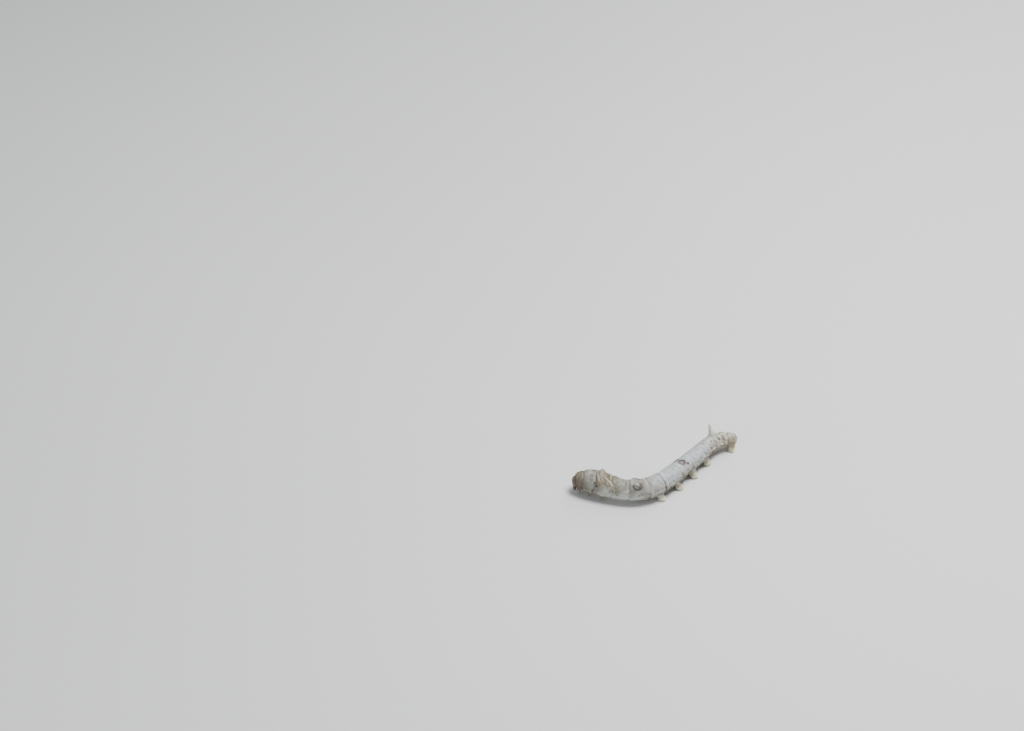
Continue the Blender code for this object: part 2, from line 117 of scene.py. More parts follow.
# Head, as in the solids
HEAD_AT = 0.65
HEAD_HEIGHT = 3.85
HEAD_TIP = 8
HEAD_HALF = Vector((1.45, 2.00, 2.10))
MOUTH_NARROWING = 0.12
LABRUM_AT = Vector((1.10, 0, -1.78))
LABRUM_HALF = Vector((0.27, 0.62, 0.42))
MANDIBLE_AT = Vector((0.74, 0.63, -2.30))
MANDIBLE_HALF = Vector((0.34, 0.46, 0.56))
LABIUM_AT = Vector((-0.33, 0, -2.30))
LABIUM_HALF = Vector((0.42, 0.74, 0.56))
# Feelers: root, tip and the root's radius
SPINNERET = (Vector((-0.20, 0, -2.55)), Vector((0.02, 0, -3.25)), 0.26)
PALP = (Vector((-0.25, 0.48, -2.45)), Vector((-0.02, 0.62, -3.02)), 0.24)
ANTENNA = (Vector((0.80, 1.02, -1.45)), Vector((1.42, 1.60, -2.32)), 0.30)
EYE_RADIUS = 0.17
EYE_SUNK = 0.05
EYE_ARC = (62, -26, 12)
EYE_STEPS = (-120, -70, -20, 30, 80)
LOWER_EYE = (58, -48)

# Photo's camera: millimetres for each pixel at the worm, its height in degrees, its distance, and
# the pixel and the place that it was measured at
IMAGE = (1024, 731)
PIXEL = 0.325
ELEVATION = 39.0
DISTANCE = 650.0
AT_PIXEL = (654.0, 462.0)
AT_PLACE = Vector((NECK_AT[0] + 25.2, NECK_AT[1] + 11.8, 4.3))
SENSOR = 36.0

RNG = random.Random(7)
LENGTHS = [segment.length for segment in SEGMENTS]
EDGES = np.concatenate(([0.0], np.cumsum(LENGTHS)))
MIDDLES = (EDGES[1:] + EDGES[:-1]) / 2
BODY_LENGTH = float(EDGES[-1])
BODY_RADIUS = 3.2               # of the straightened body, for its noises
STEP = 0.05                     # between the stations of the body's curves
OVERRUN = 2.0                   # how far they run on beyond both ends
STATIONS = np.arange(-OVERRUN, BODY_LENGTH + OVERRUN, STEP)


# Body's curves
def smooth_curve(values):
    """A cubic curve through the segments' middles, straight beyond the first and the last."""
    values = np.array(values, float)
    slopes = np.gradient(values, MIDDLES)
    i = np.clip(np.searchsorted(MIDDLES, STATIONS) - 1, 0, len(MIDDLES) - 2)
    span = MIDDLES[i + 1] - MIDDLES[i]
    t = np.clip((STATIONS - MIDDLES[i]) / span, 0, 1)
    beyond = STATIONS - np.clip(STATIONS, MIDDLES[0], MIDDLES[-1])
    end_slope = np.where(beyond < 0, slopes[0], slopes[-1])
    curve = values[i] * (1 + 2 * t) * (1 - t) ** 2 + values[i + 1] * t * t * (3 - 2 * t)
    curve += span * (slopes[i] * t * (1 - t) ** 2 + slopes[i + 1] * t * t * (t - 1))
    return curve + end_slope * beyond


CURVES = {field: smooth_curve([getattr(segment, field) for segment in SEGMENTS])
          for field in ("width", "top", "bottom", "heading", "roll", "height")}


def centre_line():
    """X and Y of the centre line at each station."""
    heading = np.radians(CURVES["heading"])
    turn = (heading[1:] + heading[:-1]) / 2
    x = np.concatenate(([0.0], np.cumsum(np.cos(turn) * STEP)))
    y = np.concatenate(([0.0], np.cumsum(np.sin(turn) * STEP)))
    return x - np.interp(0, STATIONS, x) + NECK_AT[0], y - np.interp(0, STATIONS, y) + NECK_AT[1]


LINE_X, LINE_Y = centre_line()


def along(field, s):
    return np.interp(s, STATIONS, CURVES[field])


def body_axes(s):
    """The centre and the left, up and rearward directions of the body at the distances s."""
    s = np.atleast_1d(np.asarray(s, float))
    heading = np.radians(along("heading", s))
    roll = np.radians(along("roll", s))[:, None]
    none = np.zeros_like(s)
    centre = np.stack((np.interp(s, STATIONS, LINE_X), np.interp(s, STATIONS, LINE_Y),
                       along("height", s)), 1)
    rearward = np.stack((np.cos(heading), np.sin(heading), none), 1)
    level = np.stack((np.sin(heading), -np.cos(heading), none), 1)
    upright = np.stack((none, none, none + 1), 1)
    left = level * np.cos(roll) - upright * np.sin(roll)
    up = upright * np.cos(roll) + level * np.sin(roll)
    return centre, left, up, rearward


def half_height(s, angle):
    return np.where(np.cos(angle) > 0, along("top", s), along("bottom", s))


def skin_points(s, angle, scale=1.0):
    """Points of the plain body, an array for each s and angle given."""
    centre, left, up = body_axes(s)[:3]
    across = along("width", s) * np.sin(angle) * scale
    upright = half_height(s, angle) * np.cos(angle) * scale
    return centre + left * across[:, None] + up * upright[:, None]


def axes_at(s):
    """The body's centre and its left, up and rearward directions at one distance."""
    return [Vector(rows[0]) for rows in body_axes(s)]


def skin_point(s, turned, scale=1.0):
    """One point of the plain body."""
    return Vector(skin_points(np.array([float(s)]), np.array([math.radians(turned)]), scale)[0])


def straighten(points):
    """Where points are on the body: distance, angle from the back in radians, and 1 for its skin."""
    line = np.stack((LINE_X, LINE_Y), 1)
    nearest = np.empty(len(points), int)
    block = 4000
    for start in range(0, len(points), block):
        gap = points[start:start + block, None, :2] - line[None]
        nearest[start:start + block] = (gap ** 2).sum(2).argmin(1)
    s = STATIONS[nearest]
    centre, _, _, rearward = body_axes(s)
    s = s + ((points - centre) * rearward).sum(1)
    centre, left, up, rearward = body_axes(s)
    offset = points - centre
    upright = (offset * up).sum(1)
    across = (offset * left).sum(1) / along("width", s)
    upright = upright / np.where(upright > 0, along("top", s), along("bottom", s))
    return s, np.arctan2(across, upright), np.hypot(across, upright)


def distance_to(segment_name, share):
    index = [segment.name for segment in SEGMENTS].index(segment_name)
    return float(EDGES[index]) + share * SEGMENTS[index].length


def bump(distance, reach):
    return np.exp(-(np.asarray(distance) / reach) ** 2)


def ease(value, low, high):
    """0 up to low and 1 from high on, eased between them. High may be the smaller of the two."""
    t = np.clip((np.asarray(value, float) - low) / (high - low), 0, 1)
    return t * t * (3 - 2 * t)


# Meshes
def turns_round(sides):
    return [2 * math.pi * k / sides for k in range(sides)]


def ring_tube(rings):
    """Vertices and faces of a tube through rings of points, closed at both ends."""
    rings = [[Vector(point) for point in ring] for ring in rings]
    sides = len(rings[0])
    points = [point for ring in rings for point in ring]
    faces = []
    for row in range(len(rings) - 1):
        for side in range(sides):
            after = (side + 1) % sides
            faces.append((row * sides + side, row * sides + after,
                          (row + 1) * sides + after, (row + 1) * sides + side))
    for row, turned in ((0, True), (len(rings) - 1, False)):
        centre = sum(rings[row], Vector()) / sides
        points.append(centre)
        for side in range(sides):
            a = row * sides + side
            b = row * sides + (side + 1) % sides
            faces.append((b, a, len(points) - 1) if turned else (a, b, len(points) - 1))
    return points, faces


def across_of(direction):
    """Two directions across a line."""
    side = UP.cross(direction)
    if side.length < 0.05:
        side = Vector((0, 1, 0)).cross(direction)
    side.normalize()
    return side, direction.cross(side)


def round_tube(centres, radii, sides):
    """A tube of round rings that face along their line and don't twist round it."""
    rings = []
    first = across_of((centres[1] - centres[0]).normalized())[0]
    for i, (centre, radius) in enumerate(zip(centres, radii)):
        along_line = (centres[min(len(centres) - 1, i + 1)] - centres[max(0, i - 1)]).normalized()
        first = (first - along_line * first.dot(along_line)).normalized()
        second = along_line.cross(first)
        rings.append([centre + (first * math.cos(turn) + second * math.sin(turn)) * radius
                      for turn in turns_round(sides)])
    return ring_tube(rings)


def level_tube(centres, radii, sides, forward, stretch):
    """A tube of level rings, longer along one direction, as a foot is."""
    across = UP.cross(forward)
    rings = [[centre + (forward * (math.cos(turn) * stretch) + across * math.sin(turn)) * radius
              for turn in turns_round(sides)]
             for centre, radius in zip(centres, radii)]
    return ring_tube(rings)


def refined(profile, steps):
    """A profile's places and radii, read more closely."""
    places, radii = zip(*profile)
    finer = np.linspace(places[0], places[-1], steps)
    rough = np.interp(finer, places, radii)
    smooth = rough.copy()
    smooth[1:-1] = (rough[:-2] + 2 * rough[1:-1] + rough[2:]) / 4
    return finer, smooth


def joined(parts):
    """Several meshes as one list of vertices and one of faces."""
    points, faces = [], []
    for part_points, part_faces in parts:
        start = len(points)
        points.extend(part_points)
        faces.extend(tuple(start + i for i in face) for face in part_faces)
    return points, faces


def mesh_of(name, bm):
    """A mesh from a bmesh, which is used up."""
    mesh = bpy.data.meshes.new(name)
    bm.to_mesh(mesh)
    bm.free()
    return mesh


def make_mesh(name, points, faces, scale=1.0):
    mesh = bpy.data.meshes.new(name)
    mesh.from_pydata([tuple(Vector(point) * scale) for point in points], [], faces)
    bm = bmesh.new()
    bm.from_mesh(mesh)
    bmesh.ops.recalc_face_normals(bm, faces=bm.faces)
    bm.to_mesh(mesh)
    bm.free()
    return mesh


def linked(name, data):
    """A new object in the scene."""
    thing = bpy.data.objects.new(name, data)
    bpy.context.scene.collection.objects.link(thing)
    return thing


def add_object(name, mesh, *materials):
    piece = linked(name, mesh)
    for material in materials:
        mesh.materials.append(material)
    mesh.shade_smooth()
    return piece


def settle(piece, slot, *nodes):
    """The piece rides on the only body and stands for its solids; the slot is not used."""
    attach(piece, "root")
    if nodes:
        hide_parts(*nodes)


def add_piece(name, parts, material, slot, *nodes):
    """One piece from several meshes in millimetres."""
    piece = add_object(name, make_mesh(name, *joined(parts), MM), material)
    settle(piece, slot, *nodes)
    return piece


# Materials
class Paint:
    """Builds a material's nodes with short calls."""

    def __init__(self, name, roughness, **inputs):
        self.material = bpy.data.materials.new(name)
        self.material.use_nodes = True
        self.tree = self.material.node_tree
        self.shader = self.tree.nodes["Principled BSDF"]
        self.shader.inputs["Roughness"].default_value = roughness
        for socket, value in inputs.items():
            self.shader.inputs[socket.replace("_", " ")].default_value = value

    def node(self, kind, *links, **settings):
        """A node of a kind, with sockets or values for its first inputs."""
        node = self.tree.nodes.new("ShaderNode" + kind)
        for name, value in settings.items():
            setattr(node, name, value)
        for socket, value in links:
            self.feed(node.inputs[socket], value)
        return node

    def feed(self, socket, value):
        if isinstance(value, bpy.types.NodeSocket):
            self.tree.links.new(value, socket)
        else:
            socket.default_value = value

    def attribute(self, name, output="Vector"):
        return self.node("Attribute", attribute_name=name).outputs[output]

    def channels(self, name):
        return self.node("SeparateColor", ("Color", self.attribute(name, "Color"))).outputs

    def noise(self, vector, scale, detail=3.0, rough=0.55, distortion=0.0):
        node = self.node("TexNoise", ("Vector", vector), ("Scale", scale), ("Detail", detail),
                         ("Roughness", rough), ("Distortion", distortion))
        return node.outputs["Fac"]

    def stretch(self, vector, scale):
        return self.node("Mapping", ("Vector", vector), ("Scale", scale)).outputs["Vector"]

    def span(self, value, low, high, to_low=0.0, to_high=1.0):
        node = self.node("MapRange", ("Value", value), ("From Min", low), ("From Max", high),
                         ("To Min", to_low), ("To Max", to_high), interpolation_type="SMOOTHSTEP")
        return node.outputs["Result"]

    def combine(self, kind, a, b):
        return self.node("Math", (0, a), (1, b), operation=kind).outputs[0]

    def mix(self, factor, a, b, blend="MIX"):
        node = self.node("Mix", data_type="RGBA", blend_type=blend)
        for index, value in ((0, factor), (6, a), (7, b)):
            if isinstance(value, tuple) and len(value) == 3:
                value = (*value, 1)
            self.feed(node.inputs[index], value)
        return node.outputs[2]

    def colour(self, value):
        self.feed(self.shader.inputs["Base Color"], value)

    def roughness(self, value):
        self.feed(self.shader.inputs["Roughness"], value)

    def relief(self, *layers):
        """Bumps laid over one another: each has a height, a strength and a depth in millimetres."""
        normal = None
        for height, strength, depth in layers:
            links = [("Height", height), ("Strength", strength), ("Distance", depth * MM)]
            if normal:
                links.append(("Normal", normal))
            normal = self.node("Bump", *links).outputs["Normal"]
        self.feed(self.shader.inputs["Normal"], normal)


# The skin's two ground tones, and the layers laid on them in this order: the mask, the two values of it
# that a layer fades between with its shares there, and the colour. Where only one number is given, it is
# the layer's share where the mask is full.
SKIN_BASE = ((0.315, 0.327, 0.308), (0.492, 0.508, 0.486))
SKIN_LAYERS = (
    ("patches", (0.50, 0.68, 0.0, 0.42), (0.22, 0.21, 0.19)),
    ("patches", (0.30, 0.46, 0.26, 0.0), (0.585, 0.605, 0.57)),
    ("tints", (0.52, 0.66, 0.0, 0.34), (0.42, 0.375, 0.40)),
    ("tints", (0.36, 0.48, 0.30, 0.0), (0.40, 0.46, 0.415)),
    ("blue", 1, (0.42, 0.48, 0.54)),
    ("warm", 1, (0.33, 0.265, 0.140)),
    ("rosy", 1, (0.42, 0.33, 0.31)),
    ("cream", 1, (0.66, 0.63, 0.45)),
    # Painted shade, multiplied in, with the skin's own grey spots and mottling
    ("shade", 1, (0.40, 0.395, 0.37)),
    ("patches", (0.50, 0.64, 0.0, 0.24), (0.15, 0.135, 0.115)),
    # Brown, in part painted shade
    ("brown", 1, (0.108, 0.081, 0.045)),
    # Brown dirt and painted shade low on the flanks
    ("dirt_and_shade", 1, (0.14, 0.11, 0.062)),
    ("rings", (0.54, 0.72, 0.0, 0.14), (0.22, 0.20, 0.175)),
    # Painted shade in the hollows and grooves
    ("hollow", 0.58, (0.10, 0.082, 0.062)),
    # Painted highlight on the crests, and the light spots
    ("crest", 0.60, (0.61, 0.64, 0.60)),
)
# The dark marks include some painted shade.
MARK_PAINTS = (("red", (0.105, 0.060, 0.043)), ("dark", (0.016, 0.015, 0.017)))


def skin_material():
    """Soft pale skin, painted by the attributes that the skin's mesh carries."""
    paint = Paint("silkworm_skin", 0.6, Subsurface_Weight=0.4, Subsurface_Radius=(1.0, 0.62, 0.42),
                  Subsurface_Scale=0.0005, Specular_IOR_Level=0.5)
    straight = paint.attribute("straight")
    masks = {"patches": paint.noise(straight, 1.5, 3.0, 0.55),
             "tints": paint.noise(straight, 0.45, 2.0, 0.5),
             "rings": paint.noise(paint.stretch(straight, (2.6, 0.8, 0.8)), 1.0, 2.5, 0.5, 0.5)}
    for name, fields in CHANNELS.items():
        masks.update(zip(fields, paint.channels(name)))
    clouds = paint.noise(straight, 0.80, 4.0, 0.6)
    grain = paint.noise(straight, 7.0, 4.0, 0.65)

    colour = paint.mix(paint.span(clouds, 0.34, 0.66), *SKIN_BASE)
    for name, amount, tint in SKIN_LAYERS:
        share = masks[name]
        if isinstance(amount, tuple):
            share = paint.span(share, *amount)
        elif amount != 1:
            share = paint.combine("MULTIPLY", share, amount)
        colour = paint.mix(share, colour, tint, "MULTIPLY" if name == "shade" else "MIX")

    ragged = paint.combine("MULTIPLY", paint.noise(straight, 3.2, 3.0), 0.5)
    for name, tint in MARK_PAINTS:
        edge = paint.span(paint.combine("ADD", masks[name], ragged), 0.38, 0.68, 0.45, 1.08)
        colour = paint.mix(paint.combine("MULTIPLY", masks[name], edge), colour, tint)

    cells = paint.node("TexVoronoi", ("Vector", straight), ("Scale", 1.5), ("Randomness", 1.0))
    speck = paint.span(cells.outputs["Distance"], 0.05, 0.14, 1.0, 0.0)
    where = paint.combine("MULTIPLY", paint.span(masks["patches"], 0.46, 0.60), masks["specks"])
    colour = paint.mix(paint.combine("MULTIPLY", speck, where), colour, (0.05, 0.04, 0.032))
    colour = paint.mix(paint.span(grain, 0.46, 0.72, 0.0, 0.10), colour, (0.24, 0.225, 0.20))
    paint.colour(colour)
    paint.roughness(paint.span(masks["patches"], 0.3, 0.7, 0.42, 0.60))

    fine_rings = paint.noise(paint.stretch(straight, (5.5, 1.3, 1.3)), 1.0, 3.0, 0.5, 0.4)
    paint.relief((masks["rings"], 0.7, 0.14), (fine_rings, 0.7, 0.07), (grain, 0.25, 0.02))
    return paint.material


def horny_material(name, pale, dark, scale, roughness):
    """Horny shell: mottled, finely pitted, with a low gloss, and dark where the mesh says so."""
    paint = Paint(name, roughness, Specular_IOR_Level=0.5, Coat_Weight=0.15, Coat_Roughness=0.3,
                  Subsurface_Weight=0.08, Subsurface_Radius=(1.0, 0.5, 0.25), Subsurface_Scale=0.0004)
    place = paint.node("TexCoord").outputs["Object"]
    shades = paint.channels("shades")
    mottle = paint.noise(place, 1100.0 * scale, 4.0, 0.6)
    pits = paint.node("TexVoronoi", ("Vector", place), ("Scale", 9000.0 * scale)).outputs["Distance"]
    colour = paint.mix(paint.span(mottle, 0.35, 0.68), pale, dark)
    colour = paint.mix(shades[0], colour, (0.035, 0.022, 0.015))
    colour = paint.mix(shades[1], colour, (0.27, 0.215, 0.145))
    colour = paint.mix(paint.span(pits, 0.05, 0.30, 0.35, 0.0), colour, (0.05, 0.035, 0.025))
    paint.colour(colour)
    paint.roughness(paint.span(mottle, 0.3, 0.7, roughness, roughness + 0.16))
    paint.relief((mottle, 0.4, 0.05), (pits, 0.4, 0.03))
    return paint.material


def plain_material(name, pale, dark, scale, roughness, **inputs):
    """A small part's material: two tones, a fine bump and varied roughness."""
    paint = Paint(name, roughness, **inputs)
    place = paint.node("TexCoord").outputs["Object"]
    mottle = paint.noise(place, scale, 3.0)
    paint.colour(paint.mix(paint.span(mottle, 0.3, 0.7), pale, dark))
    paint.roughness(paint.span(mottle, 0.3, 0.7, roughness, min(1.0, roughness + 0.12)))
    paint.relief((mottle, 0.3, 0.02))
    return paint.material


# Skin's shape
def body_tube():
    """The plain body as one closed tube, with the collar's hollow in front."""
    outer = np.concatenate((FRONT_RINGS, np.arange(RINGS_FROM, BODY_LENGTH - TAIL_ROUNDING, RING_SPACING),
                            BODY_LENGTH - TAIL_ROUNDING * (1 - np.sin(TAIL_TURNS))))
    back, radius = FRONT_ROUNDING
    front = np.sqrt(1 - (np.maximum(0, back - outer) / radius) ** 2)
    into_tail = np.clip((outer - BODY_LENGTH + TAIL_ROUNDING) / TAIL_ROUNDING, 0, 1)
    scales = front * (1 - into_tail ** TAIL_BLUNTNESS) ** (1 / TAIL_BLUNTNESS)
    angle = np.linspace(0, 2 * np.pi, BODY_SIDES, endpoint=False)
    rings = []
    for s, scale in list(COLLAR) + list(zip(outer, scales)):
        reach = HOOD * (1 + np.cos(angle)) / 2 * (1 - ease(s, *HOOD_FADE))
        rings.append(skin_points(s - reach, angle, scale))
    return ring_tube(rings)


def leg_line(leg, side):
    """A leg's foot, root, outward and rearward directions."""
    s = distance_to(leg.segment, leg.place)
    centre, left, _, rearward = axes_at(s)
    reach = leg.reach_left if side > 0 else leg.reach_right
    outward = Vector((left.x, left.y, 0)).normalized() * side
    foot = Vector((centre.x, centre.y, 0)) + outward * reach + rearward * leg.trail
    return foot, skin_point(s, side * ROOT_ANGLE, ROOT_DEPTH), outward, rearward


def fleshy_leg(leg, side, profile):
    foot, root, _, rearward = leg_line(leg, side)
    rings, sides = FOOT_MESH
    places, radii = refined(profile, rings)
    centres = [foot.lerp(root, place) for place in places]
    return level_tube(centres, radii, sides, rearward, SOLE_STRETCH)


def true_leg_place(leg, side, share):
    foot, root, outward, _ = leg_line(leg, side)
    return foot.lerp(root, share) + outward * (TRUE_LEG_KNEE * math.sin(math.pi * share))


def coxa(leg, side):
    """The fleshy cone that a true leg stands in."""
    rings, sides = COXA_MESH
    places, radii = refined(COXA_PROFILE, rings)
    return round_tube([true_leg_place(leg, side, place) for place in places], radii, sides)


def horn_line():
    s = distance_to("abdomen_8", HORN_PLACE)
    _, _, up, rearward = axes_at(s)
    lean = math.radians(HORN_LEAN)
    return skin_point(s, 0) - up * HORN_SUNK, up * math.cos(lean) - rearward * math.sin(lean)


def horn():
    root, axis = horn_line()
    rings, sides = HORN_MESH
    places, radii = refined(HORN_PROFILE, rings)
    span = HORN_LENGTH + HORN_SUNK
    return round_tube([root + axis * (span * place) for place in places], radii, sides)


# Skin's relief and markings
# Grooves between the rings: depths on the back from the neck to the tail, and on the flanks
RING_DEPTHS = (0.22, 0.16, 0.18, 0.26, 0.20, 0.24, 0.12, 0.13, 0.15, 0.19, 0.22, 0.22)
FLANK_DEPTH = 0.32
RING_REACH = 0.25
RING_WANDER = 0.18
# Which grooves run further back down the sides: how far, and the angles that it fades in and out over
RING_SWEEPS = {1: (0.9, (8, 50), (104, 66)), 2: (1.0, (20, 60), (116, 80))}
HORN_RING = 9                   # the groove that the horn's broad base covers on the back
# Small rings within each ring of the abdomen: share of its length, depth and half width
ANNULETS = ((0.13, 0.05, 0.16), (0.27, 0.05, 0.20), (0.42, 0.045, 0.20), (0.57, 0.04, 0.18),
            (0.74, 0.10, 0.22), (0.88, 0.055, 0.15))
CREASE_DEPTH = 0.060            # fine irregular wrinkles across the body
WRINKLE = (0.74, 0.042)         # wavelength and height of the fine rings
# Folds across the swollen thorax: height, half width, how cream the crest is, partly as a painted highlight,
# and their places
FOLDS = (
    (0.30, 0.60, 0.20, ((7.6, -62), (7.5, -24), (7.9, 9), (8.5, 27), (9.4, 42))),
    (0.98, 0.98, 0.10, ((8.6, -58), (8.2, -40), (8.5, -18), (8.9, 0))),
    (0.22, 0.50, 0.30, ((8.6, 6), (8.8, 22), (9.5, 38), (10.3, 50))),
    (0.27, 0.55, 0.28, ((9.3, -58), (9.2, -22), (9.4, 12), (9.9, 31), (10.6, 44))),
    (0.27, 0.45, 0.25, ((10.2, -60), (10.0, -25), (9.9, 1))),
    (0.30, 0.50, 0.74, ((9.9, -4), (10.3, 9), (11.4, 18), (12.4, 24), (13.3, 42), (14.0, 58), (14.1, 70))),
    (0.32, 0.58, 0.48, ((10.8, -62), (11.0, -42), (11.9, -14), (12.2, 2), (12.4, 24))),
    (0.27, 0.50, 0.20, ((12.4, -60), (12.8, -38), (13.2, -14), (13.3, 8), (13.9, 22))),
    (0.18, 0.50, 0.25, ((10.9, 26), (11.8, 36), (12.4, 46))),
    (0.27, 0.45, 0.25, ((8.7, -20), (9.0, -34), (9.8, -52))),
    (0.29, 0.50, 0.30, ((11.6, -22), (12.8, -38), (13.9, -58), (14.0, -76))),
)
FOLD_BED = 0.20                 # how much lower the skin lies between the folds
# Swellings over the eye marks and in front of the horn: distance, half width, height, and the
# angles that they fade out over
BROAD_FORMS = ((20.1, 1.6, 0.50, (84, 48)), (56.2, 0.75, 0.32, (32, 10)))
LEG_FOLDS = ((0.55, 0.05, 0.12), (1.25, 0.11, 0.17), (2.00, 0.12, 0.18))    # height, depth, half width
LOBE_LENGTH = 5.5               # of the flanks' lobes, one to a segment
# Lines along the flanks: angle, height and half width in degrees
FLANK = ((104, 0.20, 12), (90, -0.13, 5), (119, -0.18, 6), (131, 0.09, 7))
LUMP_SIZE = (0.95, 1.15)        # of the flanks' lumps, along and round the body
LUMP_RISE = (0.13, 0.6)         # their height, and their reach for that size
LUMP_CREASE = (0.15, 0.10)      # depth and half width of the creases between them
BODY_ENDS = (1.34, 1.12)        # where the body fades into its limbs, for the plain body's radius
COLLAR_ENDS = (0.80, 0.88)      # and where it does so into the collar's hollow
RELIEF_STARTS = 0.35            # height above the floor at which the relief is full
# Painted shade in the hollows and grooves, darker the deeper they are.
HOLLOW_SHADE = (0.04, 0.24)     # how deep a hollow starts to darken, and how much deeper it is darkest
# Painted highlight on raised skin, paler the higher a crest stands.
CREST_LIGHT = (0.04, 0.36, 0.57)    # how high a crest starts to pale, how much further, and how pale
ANAL_PLATE = (1.75, 74)         # the tail's plate: length and half width in degrees

# Spots of each colour, alike on both sides: distance, angle, radius and strength
# Some dark spots are painted shade: in the notch between the first two rings, low at the ends of some
# grooves of the abdomen, and low between the fleshy legs.
DARK_SPOTS = (
    (7.8, 48, 0.48, 0.95), (8.6, 61, 0.46, 0.92), (8.2, 55, 0.30, 0.5), (6.0, 18, 0.85, 0.50),
    (6.4, 39, 0.70, 0.40), (40.6, 55, 0.50, 1.0), (40.7, 30, 0.34, 0.65), (54.8, 42, 0.42, 0.85),
    (53.0, 81, 0.50, 0.50), (23.4, 88, 0.42, 0.60), (28.9, 92, 0.40, 0.50), (35.2, 96, 0.45, 0.40),
    (31.4, 60, 1.20, 0.13), (25.8, 113, 0.70, 0.35), (45.0, 99, 0.60, 0.40), (51.4, 104, 0.34, 0.35),
    (21.7, 80, 0.45, 0.50), (18.8, 88, 0.55, 0.35), (14.6, 72, 0.45, 0.30), (13.2, 78, 0.45, 0.25),
    (44.8, 141, 0.80, 0.45), (53.8, 141, 0.80, 0.50), (32.0, 138, 0.80, 0.40), (60.4, 36, 0.26, 0.4),
    (62.2, 68, 0.24, 0.35), (2.4, 21, 0.50, 0.40), (2.6, 93, 0.60, 0.45))
PALE_SPOTS = (
    (62.0, 9, 0.50, 0.9), (61.6, 55, 0.45, 0.9), (51.6, 93, 0.45, 0.9), (56.9, 84, 0.40, 0.7),
    (59.6, 88, 0.45, 0.7), (54.2, 96, 0.45, 0.7), (63.6, 34, 0.40, 0.5), (60.0, 20, 0.35, 0.5))
ROSY_SPOTS = (
    (20.7, 32, 0.85, 0.80), (39.0, 38, 1.6, 0.55), (53.3, 74, 1.6, 0.50), (62.0, 50, 1.6, 0.40),
    (5.9, 80, 1.0, 0.25), (25.5, 80, 1.8, 0.35), (41.5, 84, 1.8, 0.30))
GREY_SPOTS = (
    (5.7, 4, 1.3, 0.93), (62.2, 50, 1.0, 0.40), (12.0, 48, 0.6, 0.6), (13.6, 72, 0.6, 0.6),
    (6.0, 66, 1.0, 0.5), (30.2, 54, 0.9, 0.45), (32.4, 51, 0.7, 0.50), (51.4, 3, 0.8, 0.35),
    (45.8, 48, 0.9, 0.40), (60.6, 57, 0.6, 0.75), (24.8, 60, 0.8, 0.3), (26.0, 100, 1.0, 0.45),
    (30.2, 63, 0.6, 0.45), (31.6, 75, 0.6, 0.45), (15.8, 3, 0.5, 0.5), (36.5, 30, 0.8, 0.35),
    (43.6, 22, 0.7, 0.35), (49.0, 60, 0.8, 0.35), (55.6, 20, 0.5, 0.4))
# Some brown spots are painted shade: among the folds of the thorax's third ring and low on the flanks by the
# fleshy legs.
BROWN_SPOTS = (
    (21.8, 32, 0.80, 0.85), (21.3, 13, 0.60, 0.45), (14.1, 28, 0.95, 0.62), (13.3, 4, 0.65, 0.45),
    (12.2, 15, 0.42, 0.60), (10.8, 1, 0.42, 0.60), (9.4, 21, 0.45, 0.50), (22.4, 48, 0.90, 0.35),
    (21.2, 6, 0.80, 0.30), (61.6, 112, 0.8, 0.55), (36.6, 97, 0.9, 0.50), (44.8, 104, 0.8, 0.60),
    (46.5, 88, 0.5, 0.40), (49.0, 80, 0.5, 0.35), (53.6, 112, 0.7, 0.55), (57.8, 116, 0.6, 0.55),
    (28.9, 97, 0.8, 0.40), (51.9, 104, 0.5, 0.50), (37.4, 105, 0.8, 0.55), (42.2, 96, 0.7, 0.45),
    (20.8, 93, 0.8, 0.30), (8.0, 30, 0.5, 0.45), (11.3, 44, 0.5, 0.35), (13.0, 32, 0.4, 0.35))
# Light spots are mostly painted light: lighter patches on the flanks and a painted highlight beside the eye
# mark; some are pale patches of the skin.
PALE_AND_PAINTED_LIGHT_SPOTS = (
    (5.1, 42, 1.1, 0.24), (11.6, 76, 1.4, 0.9), (6.9, 72, 0.8, 0.3), (20.3, 76, 1.0, 0.6),
    (13.2, 98, 1.5, 0.9), (16.8, 92, 1.6, 0.95), (17.4, 62, 0.9, 0.9), (19.1, 14, 0.6, 0.6),
    (20.8, 21, 0.30, 0.30), (12.8, 53, 0.45, 0.7), (19.0, 4, 0.7, 0.6), (24.2, 80, 0.7, 0.6),
    (48.6, 92, 0.55, 0.9), (45.2, 69, 0.60, 0.8), (55.4, 104, 0.5, 0.9), (58.4, 93, 0.5, 0.9),
    (10.4, 108, 1.6, 0.7), (20.4, 102, 1.6, 0.9), (29.8, 12, 1.1, 0.5), (42.6, 8, 1.0, 0.5),
    (29.3, 81, 0.4, 0.6), (34.0, 128, 0.7, 0.9), (36.0, 128, 0.7, 0.8))
# Rings of the markings: distance, angle, radius and half width of the star mark, and the eye mark's
STAR = (39.15, 28, 0.84, 0.62)
EYE_MARK = (20.6, 34, 1.0)
